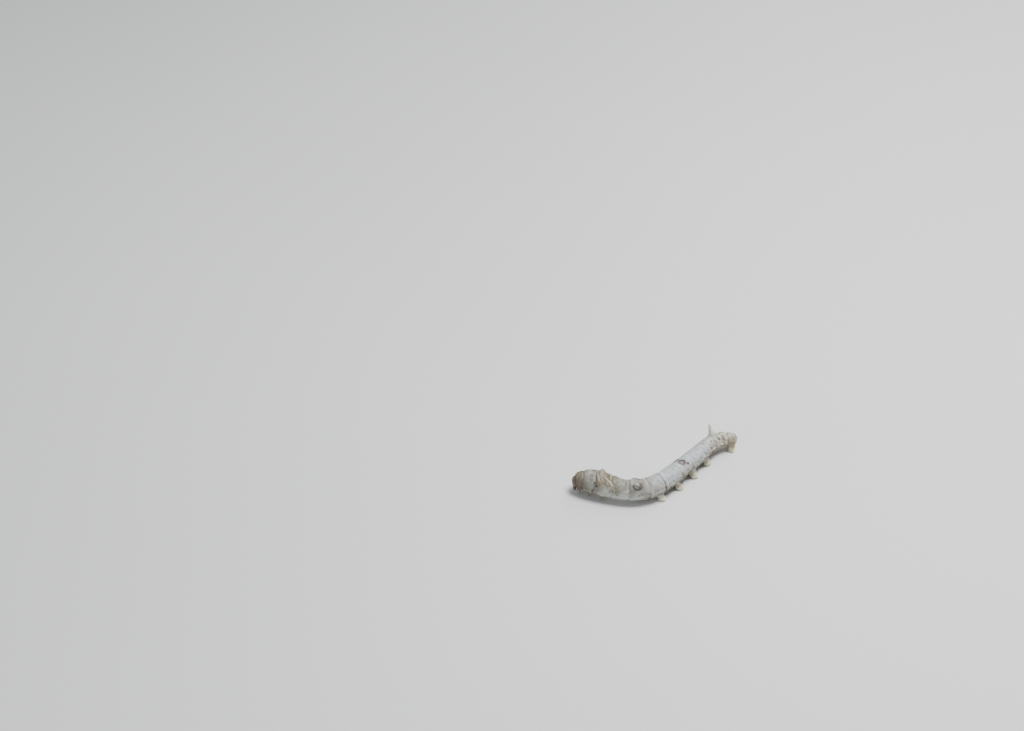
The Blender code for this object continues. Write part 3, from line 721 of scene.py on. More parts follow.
# Lines of the markings, on both sides: colour, strength, half width, and the places they run through
LINES = (
    ("dark", 0.95, 0.28, ((19.75, 22), (19.42, 28), (19.45, 38), (19.85, 47), (20.6, 51),
                          (21.35, 48), (21.6, 41))),
    ("dark", 1.0, 0.50, ((19.95, 30), (20.45, 33), (20.9, 38), (21.15, 44))),
    ("red", 1.0, 0.70, ((21.15, 16), (21.55, 24), (21.75, 36), (21.65, 47))),
    ("dark", 0.70, 0.50, ((21.3, 19), (21.6, 30), (21.7, 43))),
    ("red", 0.35, 0.50, ((22.5, 30), (22.4, 55))),
    ("red", 0.90, 0.42, ((39.5, 14), (40.05, 24), (39.95, 40))),
    ("red", 0.60, 0.45, ((38.2, 20), (38.2, 34), (38.8, 42))),
    ("cream", 0.60, 0.20, ((23.2, -6), (23.25, 20), (23.1, 42))),
    ("dark", 0.50, 0.11, ((28.85, -18), (28.7, 20), (28.75, 60), (28.9, 82))),
    ("cream", 0.55, 0.20, ((28.2, 8), (28.15, 40), (28.3, 72))),
    ("dark", 0.66, 0.52, ((58.25, 42), (58.45, 52), (58.4, 63))),
    ("dark", 0.42, 0.15, ((56.25, 50), (56.5, 76))),
    ("dark", 0.28, 0.28, ((60.75, 32), (60.9, 76))),
    ("red", 0.50, 0.60, ((52.8, 74), (53.2, 82))),
)
# Painted shade, brown, along the groove in front of the first folds
BROWN_GROOVE = ((7.15, -40), (7.2, 0), (7.35, 15), (8.1, 36), (8.3, 52))
# Breathing holes of one side: distance and angle
SPIRACLES = ((1.75, 92), (15.1, 86), (20.9, 86), (26.0, 86), (31.9, 86), (39.5, 86), (47.1, 84),
             (53.2, 80), (58.4, 60))
# How strong some colours and the specks are along the body: distance and strength
WARM_ALONG = ((0, 0.55), (3, 0.38), (7, 0.34), (8, 0.85), (12.6, 0.90), (15, 0.50), (19, 0.26),
              (21, 0.42), (24, 0.20), (29, 0.05), (51, 0.05), (56, 0.24), (60, 0.42), (63, 0.70),
              (66, 0.85))
BLUE_ALONG = ((0, 0), (11, 0), (15, 0.42), (18, 0.50), (24, 0.2), (28, 0.30), (30, 0.50), (50, 0.50),
              (55, 0.1))
# Painted shade along the body: darkest over the head end and thorax, where less light falls, with a little
# of the thorax's own darker tone; slight towards the tail.
SHADE_ALONG = ((0, 0.66), (3, 0.80), (6, 0.80), (9, 0.95), (14, 0.96), (18, 0.78), (24, 0.36),
               (29, 0.22), (34, 0.16), (66, 0.15))
SPECKS_ALONG = ((0, 0.5), (3, 0.65), (12, 0.5), (20, 0.35), (50, 0.35), (56, 0.8), (66, 0.9))
# Masks that the skin's mesh carries for its colours, three to an attribute
CHANNELS = {"zones": ("warm", "brown", "blue"), "marks": ("dark", "red", "cream"),
            "tones": ("shade", "dirt_and_shade", "rosy"), "depths": ("hollow", "crest", "specks")}


def wander(angle, seed):
    """A slow waviness round the body, between about -1 and 1."""
    return (0.55 * np.sin(2 * angle + seed * 1.7) + 0.30 * np.sin(5 * angle + seed * 2.9)
            + 0.15 * np.sin(9 * angle + seed * 4.1))


def noise_at(s, angle, size, seed):
    """Smooth noise on the straightened body, about as coarse as size in millimetres."""
    places = np.stack((s, BODY_RADIUS * np.sin(angle), BODY_RADIUS * np.cos(angle)), 1) / size + seed
    return np.array([noise.noise(Vector(place)) for place in places])


def place_noise(points, size, seed):
    """Smooth noise at the points themselves, for the legs and the horn."""
    return np.array([noise.noise(Vector(point)) for point in points / size + seed])


def mark_distance(s, from_back, at, turned):
    """Distance on the skin from a mark's middle."""
    down = np.radians(from_back - turned) * (along("width", s) + along("top", s)) / 2
    return np.hypot(s - at, down)


def line_distance(s, turned, line):
    """Distance on the skin from a line through places, and the share of the line that is nearest."""
    round_body = np.radians(1) * (along("width", s) + along("top", s)) / 2
    best = np.full(len(s), 1e9)
    share = np.zeros(len(s))
    for i, ((s_from, turned_from), (s_to, turned_to)) in enumerate(zip(line, line[1:])):
        run = s_to - s_from
        drop = (turned_to - turned_from) * round_body
        down = (turned - turned_from) * round_body
        t = np.clip(((s - s_from) * run + down * drop) / (run * run + drop * drop), 0, 1)
        gap = np.hypot(s - s_from - t * run, down - t * drop)
        share = np.where(gap < best, (i + t) / (len(line) - 1), share)
        best = np.minimum(best, gap)
    return best, share


def thorax_folds(s, angle):
    """Height of the folds across the swollen thorax, and how cream they are, partly as a painted highlight.
    """
    near = (s > 6.2) & (s < 15.6) & (np.abs(angle) < np.radians(110))
    heights = np.zeros_like(s)
    cream = np.zeros_like(s)
    at, turn = s[near], angle[near]
    rough = noise_at(at, turn, 0.9, 3.1)
    at = at + 0.16 * noise_at(at, turn, 1.7, 41.0) + 0.05 * rough
    turned = np.degrees(turn) + 3.5 * noise_at(at, turn, 1.9, 47.0)
    breaks = 1 + 0.40 * noise_at(at, turn, 1.3, 53.0)
    swell = 1 + 0.35 * noise_at(at, turn, 1.5, 59.0)
    heap = np.zeros_like(at)
    pale = np.zeros_like(at)
    for height, reach, shade, line in FOLDS:
        gap, share = line_distance(at, turned, line)
        ends = np.sin(np.pi * np.clip(share, 0.06, 0.94)) ** 0.5
        heap = np.maximum(heap, height * ends * breaks * np.clip(1 - (gap / (reach * swell)) ** 2, 0, 1))
        pale = np.maximum(pale, shade * ends * bump(gap, 0.27))
    bed = ease(at, 7.0, 7.7) * ease(at, 14.6, 13.6) * ease(np.abs(turned) - 2.0 * (at - 8), 58, 34)
    heights[near] = heap - FOLD_BED * bed
    cream[near] = pale * (0.55 + 0.45 * ease(rough, -0.4, 0.2))
    return heights, cream


def flank_lumps(s, angle):
    """Soft lumps with creases between them low on the flanks, plainer towards the tail."""
    from_back = np.abs(np.degrees(angle))
    upper = np.interp(s, (30, 48, 56), (86, 80, 70))
    share = ease(from_back - upper, 0, 12) * ease(from_back, 138, 122) * ease(s, 24, 33) * ease(s, 65, 62)
    share = share * (0.65 + 0.35 * ease(s, 48, 55))
    out = np.zeros_like(s)
    round_body = BODY_RADIUS / LUMP_SIZE[1]
    for i in np.flatnonzero(share > 0.02):
        place = (s[i] / LUMP_SIZE[0], math.sin(angle[i]) * round_body, math.cos(angle[i]) * round_body)
        nearest, second = noise.voronoi(Vector(place))[0][:2]
        crease = LUMP_CREASE[0] * math.exp(-((second - nearest) / LUMP_CREASE[1]) ** 2)
        out[i] = LUMP_RISE[0] * (1 - min(1.0, nearest / LUMP_RISE[1])) - crease
    return out * share


def ring_relief(s, angle, from_back):
    """Grooves between the rings, and the small rings of the abdomen."""
    out = np.zeros_like(s)
    on_flank = ease(from_back, 50, 105)
    for i, (edge, back_depth) in enumerate(zip(EDGES[1:-1], RING_DEPTHS)):
        offset = s - edge - RING_WANDER * wander(angle, i)
        if i in RING_SWEEPS:
            rearward, fade_in, fade_out = RING_SWEEPS[i]
            offset = offset - rearward * ease(from_back, *fade_in) * ease(from_back, *fade_out)
        depth = back_depth * (1 - on_flank) + FLANK_DEPTH * on_flank
        if i == HORN_RING:
            depth = depth * ease(from_back, 14, 34)
        depth = depth * (1 + 0.35 * wander(angle * 1.5, i + 4.0))
        out -= depth * bump(offset, RING_REACH)
        out += 0.28 * depth * bump(np.abs(offset) - 0.72, 0.42)
    for i, (segment, start) in enumerate(zip(SEGMENTS[3:11], EDGES[3:11])):
        for j, (share, depth, reach) in enumerate(ANNULETS):
            offset = s - start - share * segment.length - 0.20 * wander(angle, 3 * i + 2 * j)
            out -= depth * bump(offset, reach) * (1 + 0.5 * wander(angle * 2, i + j))
    return out


def flank_relief(s, angle, from_back):
    """Lobes, lines and lumps along the flanks, and a seam and rings under the belly."""
    in_segment = (s - EDGES[np.clip(np.searchsorted(EDGES, s) - 1, 0, len(SEGMENTS) - 1)]) / LOBE_LENGTH
    lobes = 0.45 + 0.55 * np.sin(np.pi * np.clip(in_segment, 0, 1)) ** 0.6
    out = sum(height * bump(from_back - at, reach) * lobes for at, height, reach in FLANK)
    belly = ease(from_back, 125, 150)
    out -= 0.10 * bump(from_back - 180, 9)
    out += belly * 0.05 * np.sin(2 * np.pi * s / 0.95 + wander(angle, 5.0))
    out *= ease(s, 2.5, 6) * ease(s, 64, 60)
    low_flank = ease(from_back, 84, 104) * (1 - belly)
    out += 0.22 * low_flank * noise_at(s, angle, 1.5, 61.0) * ease(s, 18, 26)
    return out + flank_lumps(s, angle)


def fine_relief(s, angle, from_back):
    """Fine rings, irregular creases and a general unevenness, stronger towards the tail."""
    length, height = WRINKLE
    drift = noise_at(s, angle, 3.2, 14.2)
    patchy = ease(noise_at(s, angle, 2.1, 21.0), -0.25, 0.35)
    rings = np.sin(2 * np.pi * (s + 0.9 * drift) / length)
    out = height * patchy * rings * (1 - 0.5 * ease(from_back, 125, 150))
    creases = noise_at(s * 2.2, angle, 2.6, 71.0)
    out -= CREASE_DEPTH * bump(creases, 0.10) * ease(noise_at(s, angle, 1.8, 77.0), -0.3, 0.3)
    out += 0.07 * noise_at(s, angle, 1.4, 83.0)
    return out + 0.15 * noise_at(s, angle, 1.2, 31.0) * ease(s, 50, 57)


def tail_plate(s, from_back):
    """The plate over the tail's end: a groove along its edge, and its raised middle."""
    length, half = ANAL_PLATE
    plate_edge = BODY_LENGTH - length - 0.8 + 1.9 * (from_back / half) ** 2
    groove = 0.16 * bump(s - plate_edge, 0.20) * ease(from_back, half + 25, half) * ease(s, 62.8, 63.4)
    return 0.10 * ease(s - plate_edge, 0.0, 0.5) * ease(from_back, half + 8, half - 10) - groove


def skin_relief(s, angle):
    """How far the skin stands out from the plain body, and how cream the folds' crests are."""
    from_back = np.abs(np.degrees(angle))
    out, crests = thorax_folds(s, angle)
    out += ring_relief(s, angle, from_back) + flank_relief(s, angle, from_back)
    out += fine_relief(s, angle, from_back) + tail_plate(s, from_back)
    out += 0.12 * ease(from_back, 100, 40) * bump(s - 5.2, 1.5)
    for at, turned, radius, strength in PALE_SPOTS:
        out += 0.12 * strength * bump(mark_distance(s, from_back, at, turned), radius)
    for at, turned, radius in (EYE_MARK, STAR[:3]):
        out += 0.10 * bump(mark_distance(s, from_back, at, turned), radius * 1.1)
    return out, crests


def broad_forms(s, angle):
    """Swellings over the eye marks and in front of the horn."""
    from_back = np.abs(np.degrees(angle))
    return sum(height * bump(s - at, reach) * ease(from_back, *fade)
               for at, reach, height, fade in BROAD_FORMS)


def leg_relief(points, on_leg):
    """Soft folds round the fleshy legs, and lumps between them."""
    lump = place_noise(points, 0.9, 5.0)
    height = points[:, 2] + 0.28 * place_noise(points, 1.3, 9.0)
    out = 0.12 * lump
    for at, depth, reach in LEG_FOLDS:
        out -= depth * (1 + lump) * bump(height - at, reach)
    return out * on_leg


def spots_at(spots, s, from_back, edge):
    """Soft uneven spots: the strongest one at each place."""
    strongest = np.zeros_like(s)
    for at, turned, radius, strength in spots:
        gap = mark_distance(s, from_back, at, turned) * edge
        strongest = np.maximum(strongest, strength * bump(gap, radius))
    return strongest


def strength_along(profile, s):
    return np.interp(s, *zip(*profile))


def skin_paint(s, angle, rho, height, crests):
    """Masks for the skin's colours, by name."""
    from_back = np.abs(np.degrees(angle))
    rough = noise_at(s, angle, 0.8, 3.1)
    broad = noise_at(s, angle, 3.5, 9.7)
    mottle = noise_at(s, angle, 1.15, 91.0)
    edge = 1 + 0.45 * rough
    on_body = ease(rho, 1.3, 1.15)
    on_limb = ease(rho, 1.2, 1.5)
    on_horn = on_limb * (height > 4)
    near_tail = ease(s, 49, 56) * ease(from_back, 125, 100)
    masks = {name: np.zeros_like(s) for name in ("dark", "red", "cream", "brown", "shade", "rosy", "light")}

    def lay(name, mask):
        """Lets a mask be at least as strong as another."""
        masks[name] = np.maximum(masks[name], mask)

    # Of these spots, the light ones are mostly painted light and some brown ones painted shade.
    for name, spots in (("brown", BROWN_SPOTS), ("shade", GREY_SPOTS), ("rosy", ROSY_SPOTS),
                        ("light", PALE_AND_PAINTED_LIGHT_SPOTS), ("cream", PALE_SPOTS)):
        lay(name, spots_at(spots, s, from_back, edge))
    # Dark spots, some of them painted shade.
    for at, turned, radius, strength in DARK_SPOTS:
        distance = mark_distance(s, from_back, at, turned) * edge
        lay("dark", strength * ease(distance, radius * 1.20, radius * 0.40))
    for name, strength, reach, line in LINES:
        gap, share = line_distance(s, from_back, line)
        ends = np.clip(np.minimum(share, 1 - share) * 6 + 0.45, 0, 1)
        lay(name, strength * ends * bump(gap * edge, reach))
    at, turned, radius, reach = STAR
    distance = mark_distance(s, from_back, at, turned)
    ring = bump(distance * (1 + 0.25 * rough) - radius, reach) * (0.62 + 0.38 * ease(s - at, -0.6, 0.5))
    lay("red", ring)
    lay("dark", 0.78 * ring)
    lay("cream", 0.45 * near_tail * ease(mottle, 0.12, 0.40))
    for name in ("dark", "red", "cream", "light"):
        masks[name] *= on_body
    # Cream on the fleshy legs, the fold crests, the horn and the belly. The horn's cream and light are
    # partly its own pale tone and partly painted light; the fold crests' cream is partly a painted
    # highlight.
    for mask in (0.85 * ease(rho, 1.22, 1.5) * (height < 3.2), crests, 0.75 * on_horn,
                 0.30 * ease(from_back, 118, 150)):
        lay("cream", mask)
    lay("light", 0.85 * on_horn * (1 + 0.3 * rough))

    warm = strength_along(WARM_ALONG, s)
    warm = warm * (1 - 0.70 * ease(from_back - 2.5 * (s - 8), 40, 75) * (s > 7.0) * (s < 20))
    warm = (warm + 0.40 * ease(from_back, 96, 128) * (s > 22)) * (1 + 0.8 * broad)
    masks["warm"] = np.clip(warm, 0, 0.95) * (1 - 0.85 * on_horn)

    lay("brown", ease(s, 3.2, 2.6) * (0.62 + 0.34 * ease(from_back, 14, 50)))
    # Painted shade, brown, along the groove in front of the first folds.
    lay("brown", 0.60 * bump(line_distance(s, from_back, BROWN_GROOVE)[0], 0.34))
    masks["brown"] = np.clip(masks["brown"] * (1 + 0.35 * rough), 0, 0.94)

    blue = strength_along(BLUE_ALONG, s)
    blue = blue * np.where(s < 22, ease(from_back, 60, 90), ease(from_back, 100, 66))
    masks["blue"] = np.clip(blue * (1 + 0.9 * broad), 0, 0.8) * on_body

    # Painted light: the painted shade is mostly lifted off the low flanks of the thorax's third ring and the
    # abdomen's first two, so they stay lighter.
    pale_flank = ease(from_back, 62, 94) * ease(s, 8.5, 10) * ease(s, 23, 20)
    # Painted shade along the body, darkest over the thorax.
    lay("shade", strength_along(SHADE_ALONG, s) * (1 - 0.90 * pale_flank))
    # Painted shade low on the flanks and under the belly, from about the third ring of the abdomen back.
    lay("shade", 0.38 * ease(from_back, 88, 128) * ease(s, 20, 24))
    lay("shade", 0.60 * near_tail * ease(-mottle, 0.12, 0.40))
    # The shade is lifted off the fold crests, partly as a painted highlight, and made patchy.
    masks["shade"] = np.clip(masks["shade"] * (1 - 0.85 * crests) * (1 + 0.6 * broad), 0, 0.96) * on_body

    patchy = ease(broad + 0.8 * rough, -0.30, 0.35)
    # Dirt and painted shade low on the flanks between the fleshy legs: patchy and brown.
    dirt_and_shade = ease(from_back, 86, 112) * ease(s, 23, 30) * ease(s, 63, 58) * patchy
    masks["dirt_and_shade"] = 0.75 * dirt_and_shade * (1 - 0.75 * on_limb)
    lay("rosy", 0.45 * near_tail * ease(-mottle, 0.05, 0.30))
    masks["rosy"] *= on_body
    masks["specks"] = strength_along(SPECKS_ALONG, s) * on_body
    return masks


def vertex_values(mesh, field):
    """The vertices' places or normals, a row for each."""
    values = np.empty(len(mesh.vertices) * 3)
    mesh.vertices.foreach_get(field, values)
    return values.reshape(-1, 3)


def set_colours(mesh, name, values):
    layer = mesh.color_attributes.new(name, "FLOAT_COLOR", "POINT")
    whole = np.concatenate((np.clip(values, 0, 1), np.ones((len(values), 1))), 1)
    layer.data.foreach_set("color", np.ascontiguousarray(whole, np.float32).ravel())


def skin_shell():
    """The body, its fleshy legs, claspers and horn as one closed, smooth mesh in millimetres."""
    parts = [body_tube(), horn()]
    for side in (1, -1):
        parts += [coxa(leg, side) for leg in TRUE_LEGS]
        parts += [fleshy_leg(leg, side, PROLEG_PROFILE) for leg in PROLEGS]
        parts.append(fleshy_leg(CLASPERS, side, CLASPER_PROFILE))
    shells = linked("skin_shells", make_mesh("skin_shells", *joined(parts)))
    remesh = shells.modifiers.new("Remesh", "REMESH")
    remesh.mode = "VOXEL"
    remesh.voxel_size = VOXEL
    smooth = shells.modifiers.new("Smooth", "SMOOTH")
    smooth.factor = 0.5
    smooth.iterations = SMOOTHING
    bpy.context.view_layer.update()
    evaluated = shells.evaluated_get(bpy.context.evaluated_depsgraph_get())
    mesh = bpy.data.meshes.new_from_object(evaluated)
    bpy.data.objects.remove(shells)
    return mesh


def skin():
    """One skin over the whole body, with its relief and the masks for its colours."""
    mesh = skin_shell()
    mesh.name = "silkworm_skin"
    points, normals = vertex_values(mesh, "co"), vertex_values(mesh, "normal")
    s, angle, rho = straighten(points)
    on_body = ease(rho, *BODY_ENDS) * ease(rho, *COLLAR_ENDS)
    bare, crests = skin_relief(s, angle)
    on_leg = ease(rho, 1.15, 1.4) * ease(points[:, 2], 3.2, 2.6)
    folds = bare * on_body + leg_relief(points, on_leg)
    uneven = 0.07 * noise_at(s, angle, 2.6, 1.3) + 0.04 * noise_at(s, angle, 0.7, 5.5)
    relief = folds + (broad_forms(s, angle) + uneven) * on_body
    relief += 0.05 * place_noise(points, 0.5, 2.0) * (1 - on_body)
    relief *= ease(points[:, 2], 0.0, RELIEF_STARTS)
    points = points + normals * relief[:, None]
    points[:, 2] = np.maximum(points[:, 2], 0)
    mesh.vertices.foreach_set("co", points.ravel() * MM)
    mesh.update()

    masks = skin_paint(s, angle, rho, points[:, 2], crests * on_body)
    from_back = np.abs(np.degrees(angle))
    in_folds = ease(s, 7.2, 8.2) * ease(s, 14.8, 13.6) * ease(from_back, 78, 55) * on_body
    # Painted highlight on the crests, weaker among the thorax's folds, and the light spots.
    start, span, palest = CREST_LIGHT
    crest = palest * np.clip((folds - start) / span, 0, 1) * (1 - 0.5 * in_folds)
    masks["crest"] = np.maximum(crest, masks["light"])
    # Painted shade in the hollows, stronger among the thorax's folds.
    start, span = HOLLOW_SHADE
    masks["hollow"] = np.clip(-(folds + start) / span * (1 + 0.5 * in_folds), 0, 1)
    across, upright = BODY_RADIUS * rho * np.sin(angle), BODY_RADIUS * rho * np.cos(angle)
    layer = mesh.attributes.new("straight", "FLOAT_VECTOR", "POINT")
    layer.data.foreach_set("vector", np.stack((s, across, upright), 1).astype(np.float32).ravel())
    for name, fields in CHANNELS.items():
        set_colours(mesh, name, np.stack([masks[field] for field in fields], 1))
    piece = add_object("silkworm_skin", mesh, skin_material())
    nodes = [segment.name for segment in SEGMENTS] + ["horn"]
    for _, word in SIDES:
        nodes += [leg.name + "_" + word for leg in PROLEGS] + ["clasper_" + word]
    settle(piece, "skin", *nodes)
    return piece


# Things set on the skin
SPIRACLE_HALF = (0.13, 0.24)    # half width and half height of a breathing hole
SPIRACLE_SIDES = 24
# Rings of a breathing hole: how wide each is for its oval, and how far above the skin
SPIRACLE_RIM = ((1.36, -0.08), (1.30, 0.0), (1.16, 0.045), (0.98, 0.05), (0.84, 0.015), (0.82, -0.08))
SPIRACLE_PLATE = ((0.90, -0.10), (0.88, 0.014), (0.60, 0.022), (0.34, 0.018), (0.14, 0.008))


def skin_tree(piece):
    """For finding the skin from inside, in millimetres."""
    points = [vert.co / MM for vert in piece.data.vertices]
    return BVHTree.FromPolygons(points, [polygon.vertices[:] for polygon in piece.data.polygons])


def on_skin(tree, s, turned):
    """The place and outward direction of the skin at a distance and an angle."""
    centre = axes_at(s)[0]
    outward = (skin_point(s, turned) - centre).normalized()
    place, normal = tree.ray_cast(centre + outward * 0.5, outward)[:2]
    if place is None:
        return None
    return place, normal if normal.dot(outward) > 0 else -normal


def draped(tree, place, normal, points, grow, rise):
    """Points round a place, laid on the skin and lifted."""
    ring = []
    for point in points:
        above = place + point * grow + normal * 0.6
        hit = tree.ray_cast(above, -normal, 1.2)[0] or place + point * grow
        ring.append(hit + normal * rise)
    return ring


def spiracles(tree):
    """Nine breathing holes on each side: a dark oval rim round a brown plate."""
    rims, plates = [], []
    for at, turned in SPIRACLES:
        size = 1.15 if at in (SPIRACLES[0][0], SPIRACLES[-1][0]) else 1.0
        for side in (1, -1):
            found = on_skin(tree, at, turned * side)
            if not found:
                continue
            place, normal = found
            tall = normal.cross(axes_at(at)[3]).normalized()
            wide = tall.cross(normal).normalized()
            oval = [(wide * (SPIRACLE_HALF[0] * math.cos(turn)) + tall * (SPIRACLE_HALF[1] * math.sin(turn)))
                    * size for turn in turns_round(SPIRACLE_SIDES)]
            for parts, rings in ((rims, SPIRACLE_RIM), (plates, SPIRACLE_PLATE)):
                parts.append(ring_tube([draped(tree, place, normal, oval, *ring) for ring in rings]))
    add_piece("spiracle_rims", rims, plain_material(
        "spiracle_rim", (0.030, 0.024, 0.020), (0.06, 0.045, 0.032), 5000, 0.4), "head_shell")
    add_piece("spiracle_plates", plates, plain_material(
        "spiracle_plate", (0.085, 0.052, 0.032), (0.035, 0.023, 0.016), 7000, 0.65), "head_shell")


def hair(place, direction, length, radius):
    """A fine tapering hair, bent a little, with its root in the skin."""
    bend = Vector((0, 0, -0.12)) * length
    centres = [place - direction * 0.05, place + direction * (length * 0.5) + bend * 0.3,
               place + direction * length + bend]
    for centre in centres:
        centre.z = max(centre.z, 0.05)
    return round_tube(centres, (radius, radius * 0.7, radius * 0.12), 4)


# Bands of hairs: the angles from the back that they grow between, and how many
HAIR_BANDS = ((78, 122, 420), (122, 160, 160), (0, 78, 240))
HAIR_LENGTH = (0.16, 0.36)
HAIR_RADIUS = 0.014
HAIR_PATCH = 0.003              # the part of the colour map that a hair has


def hairs(tree):
    """Short fine hairs, thickest along the flanks."""
    parts, roots = [], []
    for low, high, count in HAIR_BANDS:
        for _ in range(count):
            s = RNG.uniform(2.0, BODY_LENGTH - 0.8)
            turned = RNG.uniform(low, high) * RNG.choice((-1, 1))
            found = on_skin(tree, s, turned)
            if not found:
                continue
            place, normal = found
            rearward = axes_at(s)[3]
            spread = Vector((RNG.uniform(-1, 1), RNG.uniform(-1, 1), RNG.uniform(-1, 1)))
            direction = (normal + rearward * RNG.uniform(-0.2, 0.5) + spread * 0.25).normalized()
            length = RNG.uniform(*HAIR_LENGTH) * (1.4 if low > 70 else 1.0)
            if place.z < 1.2:
                length *= 0.6
            parts.append(hair(place, direction, length, HAIR_RADIUS))
            roots.append((s / BODY_LENGTH, (turned + 180) / 360))
    mesh = add_piece("fine_hairs", parts, plain_material(
        "hair", (0.55, 0.50, 0.40), (0.30, 0.24, 0.16), 900, 0.5), "skin").data
    per_hair = len(parts[0][0])
    spots = [(i % 4 / 4 * HAIR_PATCH, i // 4 / (per_hair / 4) * HAIR_PATCH) for i in range(per_hair)]
    layer = mesh.uv_layers.new(name="OFBake")
    for loop in mesh.loops:
        root_u, root_v = roots[loop.vertex_index // per_hair]
        spot_u, spot_v = spots[loop.vertex_index % per_hair]
        layer.data[loop.index].uv = (root_u + spot_u, root_v + spot_v)


# Hooks on a foot: how many, how far round they reach, their row's radius on a fleshy leg and on a
# clasper, and how long the even and the odd ones are
HOOKS = 23
HOOKS_TURN = 78
PROLEG_HOOKS_AT = 1.02
CLASPER_HOOKS_AT = 0.84
HOOK_LENGTHS = (0.72, 1.0)
# Rings of a hook: how far out in the foot's radius, its height with and without the hook's length,
# and its radius
HOOK_PLACES = ((1.12, 0.24, 0.0, 0.028), (1.18, 0.0, 0.13, 0.026), (1.02, 0.0, 0.035, 0.008))


def crochets():
    """Rows of small dark hooks along the inner edge of each fleshy foot."""
    parts = []
    radii = [place[3] for place in HOOK_PLACES]
    for leg, radius in [(leg, PROLEG_HOOKS_AT) for leg in PROLEGS] + [(CLASPERS, CLASPER_HOOKS_AT)]:
        for side in (1, -1):
            foot, _, outward, rearward = leg_line(leg, side)
            for k in range(HOOKS):
                turn = math.radians(HOOKS_TURN * (2 * k / (HOOKS - 1) - 1))
                reach = -outward * math.cos(turn) + rearward * (math.sin(turn) * SOLE_STRETCH)
                centres = [foot + reach * (radius * out) + UP * (own * HOOK_LENGTHS[k % 2] + high)
                           for out, own, high, _ in HOOK_PLACES]
                parts.append(round_tube(centres, radii, 5))
    add_piece("crochets", parts, plain_material(
        "hooks", (0.24, 0.14, 0.070), (0.11, 0.065, 0.034), 4000, 0.35), "leg_shell")


# True legs: rings of their shell, each the share of the way from foot to root, and radius
LEG_RINGS = (
    (0.00, 0.04), (0.03, 0.10), (0.06, 0.14), (0.12, 0.18), (0.20, 0.225), (0.265, 0.255), (0.29, 0.240),
    (0.315, 0.268), (0.40, 0.32), (0.475, 0.358), (0.50, 0.343), (0.525, 0.375), (0.60, 0.43),
    (0.68, 0.465), (0.73, 0.36))
LEG_JOINTS = (0.29, 0.50)
LEG_SIDES = 20
CLAW_RADII = (0.115, 0.085, 0.022)


def set_shades(mesh, shade_of):
    """Dark and pale shares for each vertex of a horny piece, from its place in millimetres."""
    values = np.array([shade_of(vert.co / MM) for vert in mesh.vertices])
    set_colours(mesh, "shades", np.concatenate((values, np.zeros((len(values), 1))), 1))


def true_leg(leg, side, word, material):
    """A jointed horny leg down to its dark claw."""
    _, root, outward, rearward = leg_line(leg, side)

    def on_leg(share):
        """The leg's middle, its foot turned in and forwards a little."""
        turned_in = 0.16 * max(0.0, 1 - share / 0.3) ** 2
        return true_leg_place(leg, side, share) - (outward * 0.4 + rearward * 0.6) * turned_in

    def shade(place):
        share = place.z / root.z
        dark = 0.9 * float(ease(share, 0.16, 0.04))
        dark += 0.30 * float(sum(bump(share - at - 0.035, 0.02) for at in LEG_JOINTS))
        pale = float(sum(bump(share - at, 0.016) for at in LEG_JOINTS))
        return min(1.0, dark), min(1.0, pale * 0.7)

    shares, radii = zip(*LEG_RINGS)
    tip = on_leg(0)
    claw = [on_leg(0.09), tip + UP * 0.17, tip + UP * 0.03 - outward * 0.13]
    name = leg.name + "_" + word
    piece = add_piece(name + "_horny", [round_tube([on_leg(share) for share in shares], radii, LEG_SIDES),
                                        round_tube(claw, CLAW_RADII, 8)], material, "leg_shell", name)
    for vert in piece.data.vertices:
        vert.co.z = max(vert.co.z, 0)
    set_shades(piece.data, shade)


# Head
def head_axes():
    """The head's place: x forwards, y left and z up, tipped forwards."""
    centre, _, _, rearward = axes_at(HEAD_AT)
    centre.z = HEAD_HEIGHT
    turn = Matrix((-rearward, UP.cross(-rearward), UP)).transposed().to_4x4()
    return Matrix.Translation(centre) @ turn @ Matrix.Rotation(math.radians(HEAD_TIP), 4, "Y")


def head_direction(turned, raised):
    turned = math.radians(turned)
    raised = math.radians(raised)
    level = math.cos(raised)
    return Vector((level * math.cos(turned), level * math.sin(turned), math.sin(raised)))


def suture(direction):
    """How deep in the head's seams a direction is: down the crown, then forked round the face."""
    x, y, z = direction
    if x < -0.35:
        return 0.0
    crown = float(bump(y, 0.045)) if z > 0.28 else 0.0
    fork = 0.0
    if -0.62 < z < 0.34 and x > 0:
        fork = float(bump(abs(y) - (0.34 - z) * 0.46, 0.03))
    brow = float(bump(z + 0.63, 0.03)) if x > 0.3 and abs(y) < 0.5 else 0.0
    return max(crown, fork, brow)


def head_surface(direction):
    """The capsule in the head's axes: two round lobes, seams and a flatter face."""
    x, y, z = direction
    valley = 0.07 * float(bump(y, 0.15)) * min(1.0, max(0.0, z + 0.3))
    in_face = 0.03 * float(1 - ease(abs(y) - (0.34 - z) * 0.46, -0.08, 0.0)) * (x > 0) * (-0.62 < z < 0.34)
    grain = 0.006 * noise.noise(direction * 9) + 0.004 * noise.noise(direction * 24)
    out = 1 - valley - in_face - 0.022 * suture(direction) + grain
    mouth = 1 - MOUTH_NARROWING * max(0.0, -z)
    return Vector((x * HEAD_HALF.x, y * HEAD_HALF.y * mouth, z * HEAD_HALF.z)) * out


def ball(subdivisions):
    bm = bmesh.new()
    bmesh.ops.create_icosphere(bm, subdivisions=subdivisions, radius=1)
    return bm


def bm_piece(name, bm, place, *materials):
    """An object from a bmesh in the head's axes."""
    bmesh.ops.transform(bm, matrix=place, verts=bm.verts)
    bmesh.ops.scale(bm, vec=(MM, MM, MM), verts=bm.verts)
    return add_object(name, mesh_of(name, bm), *materials)


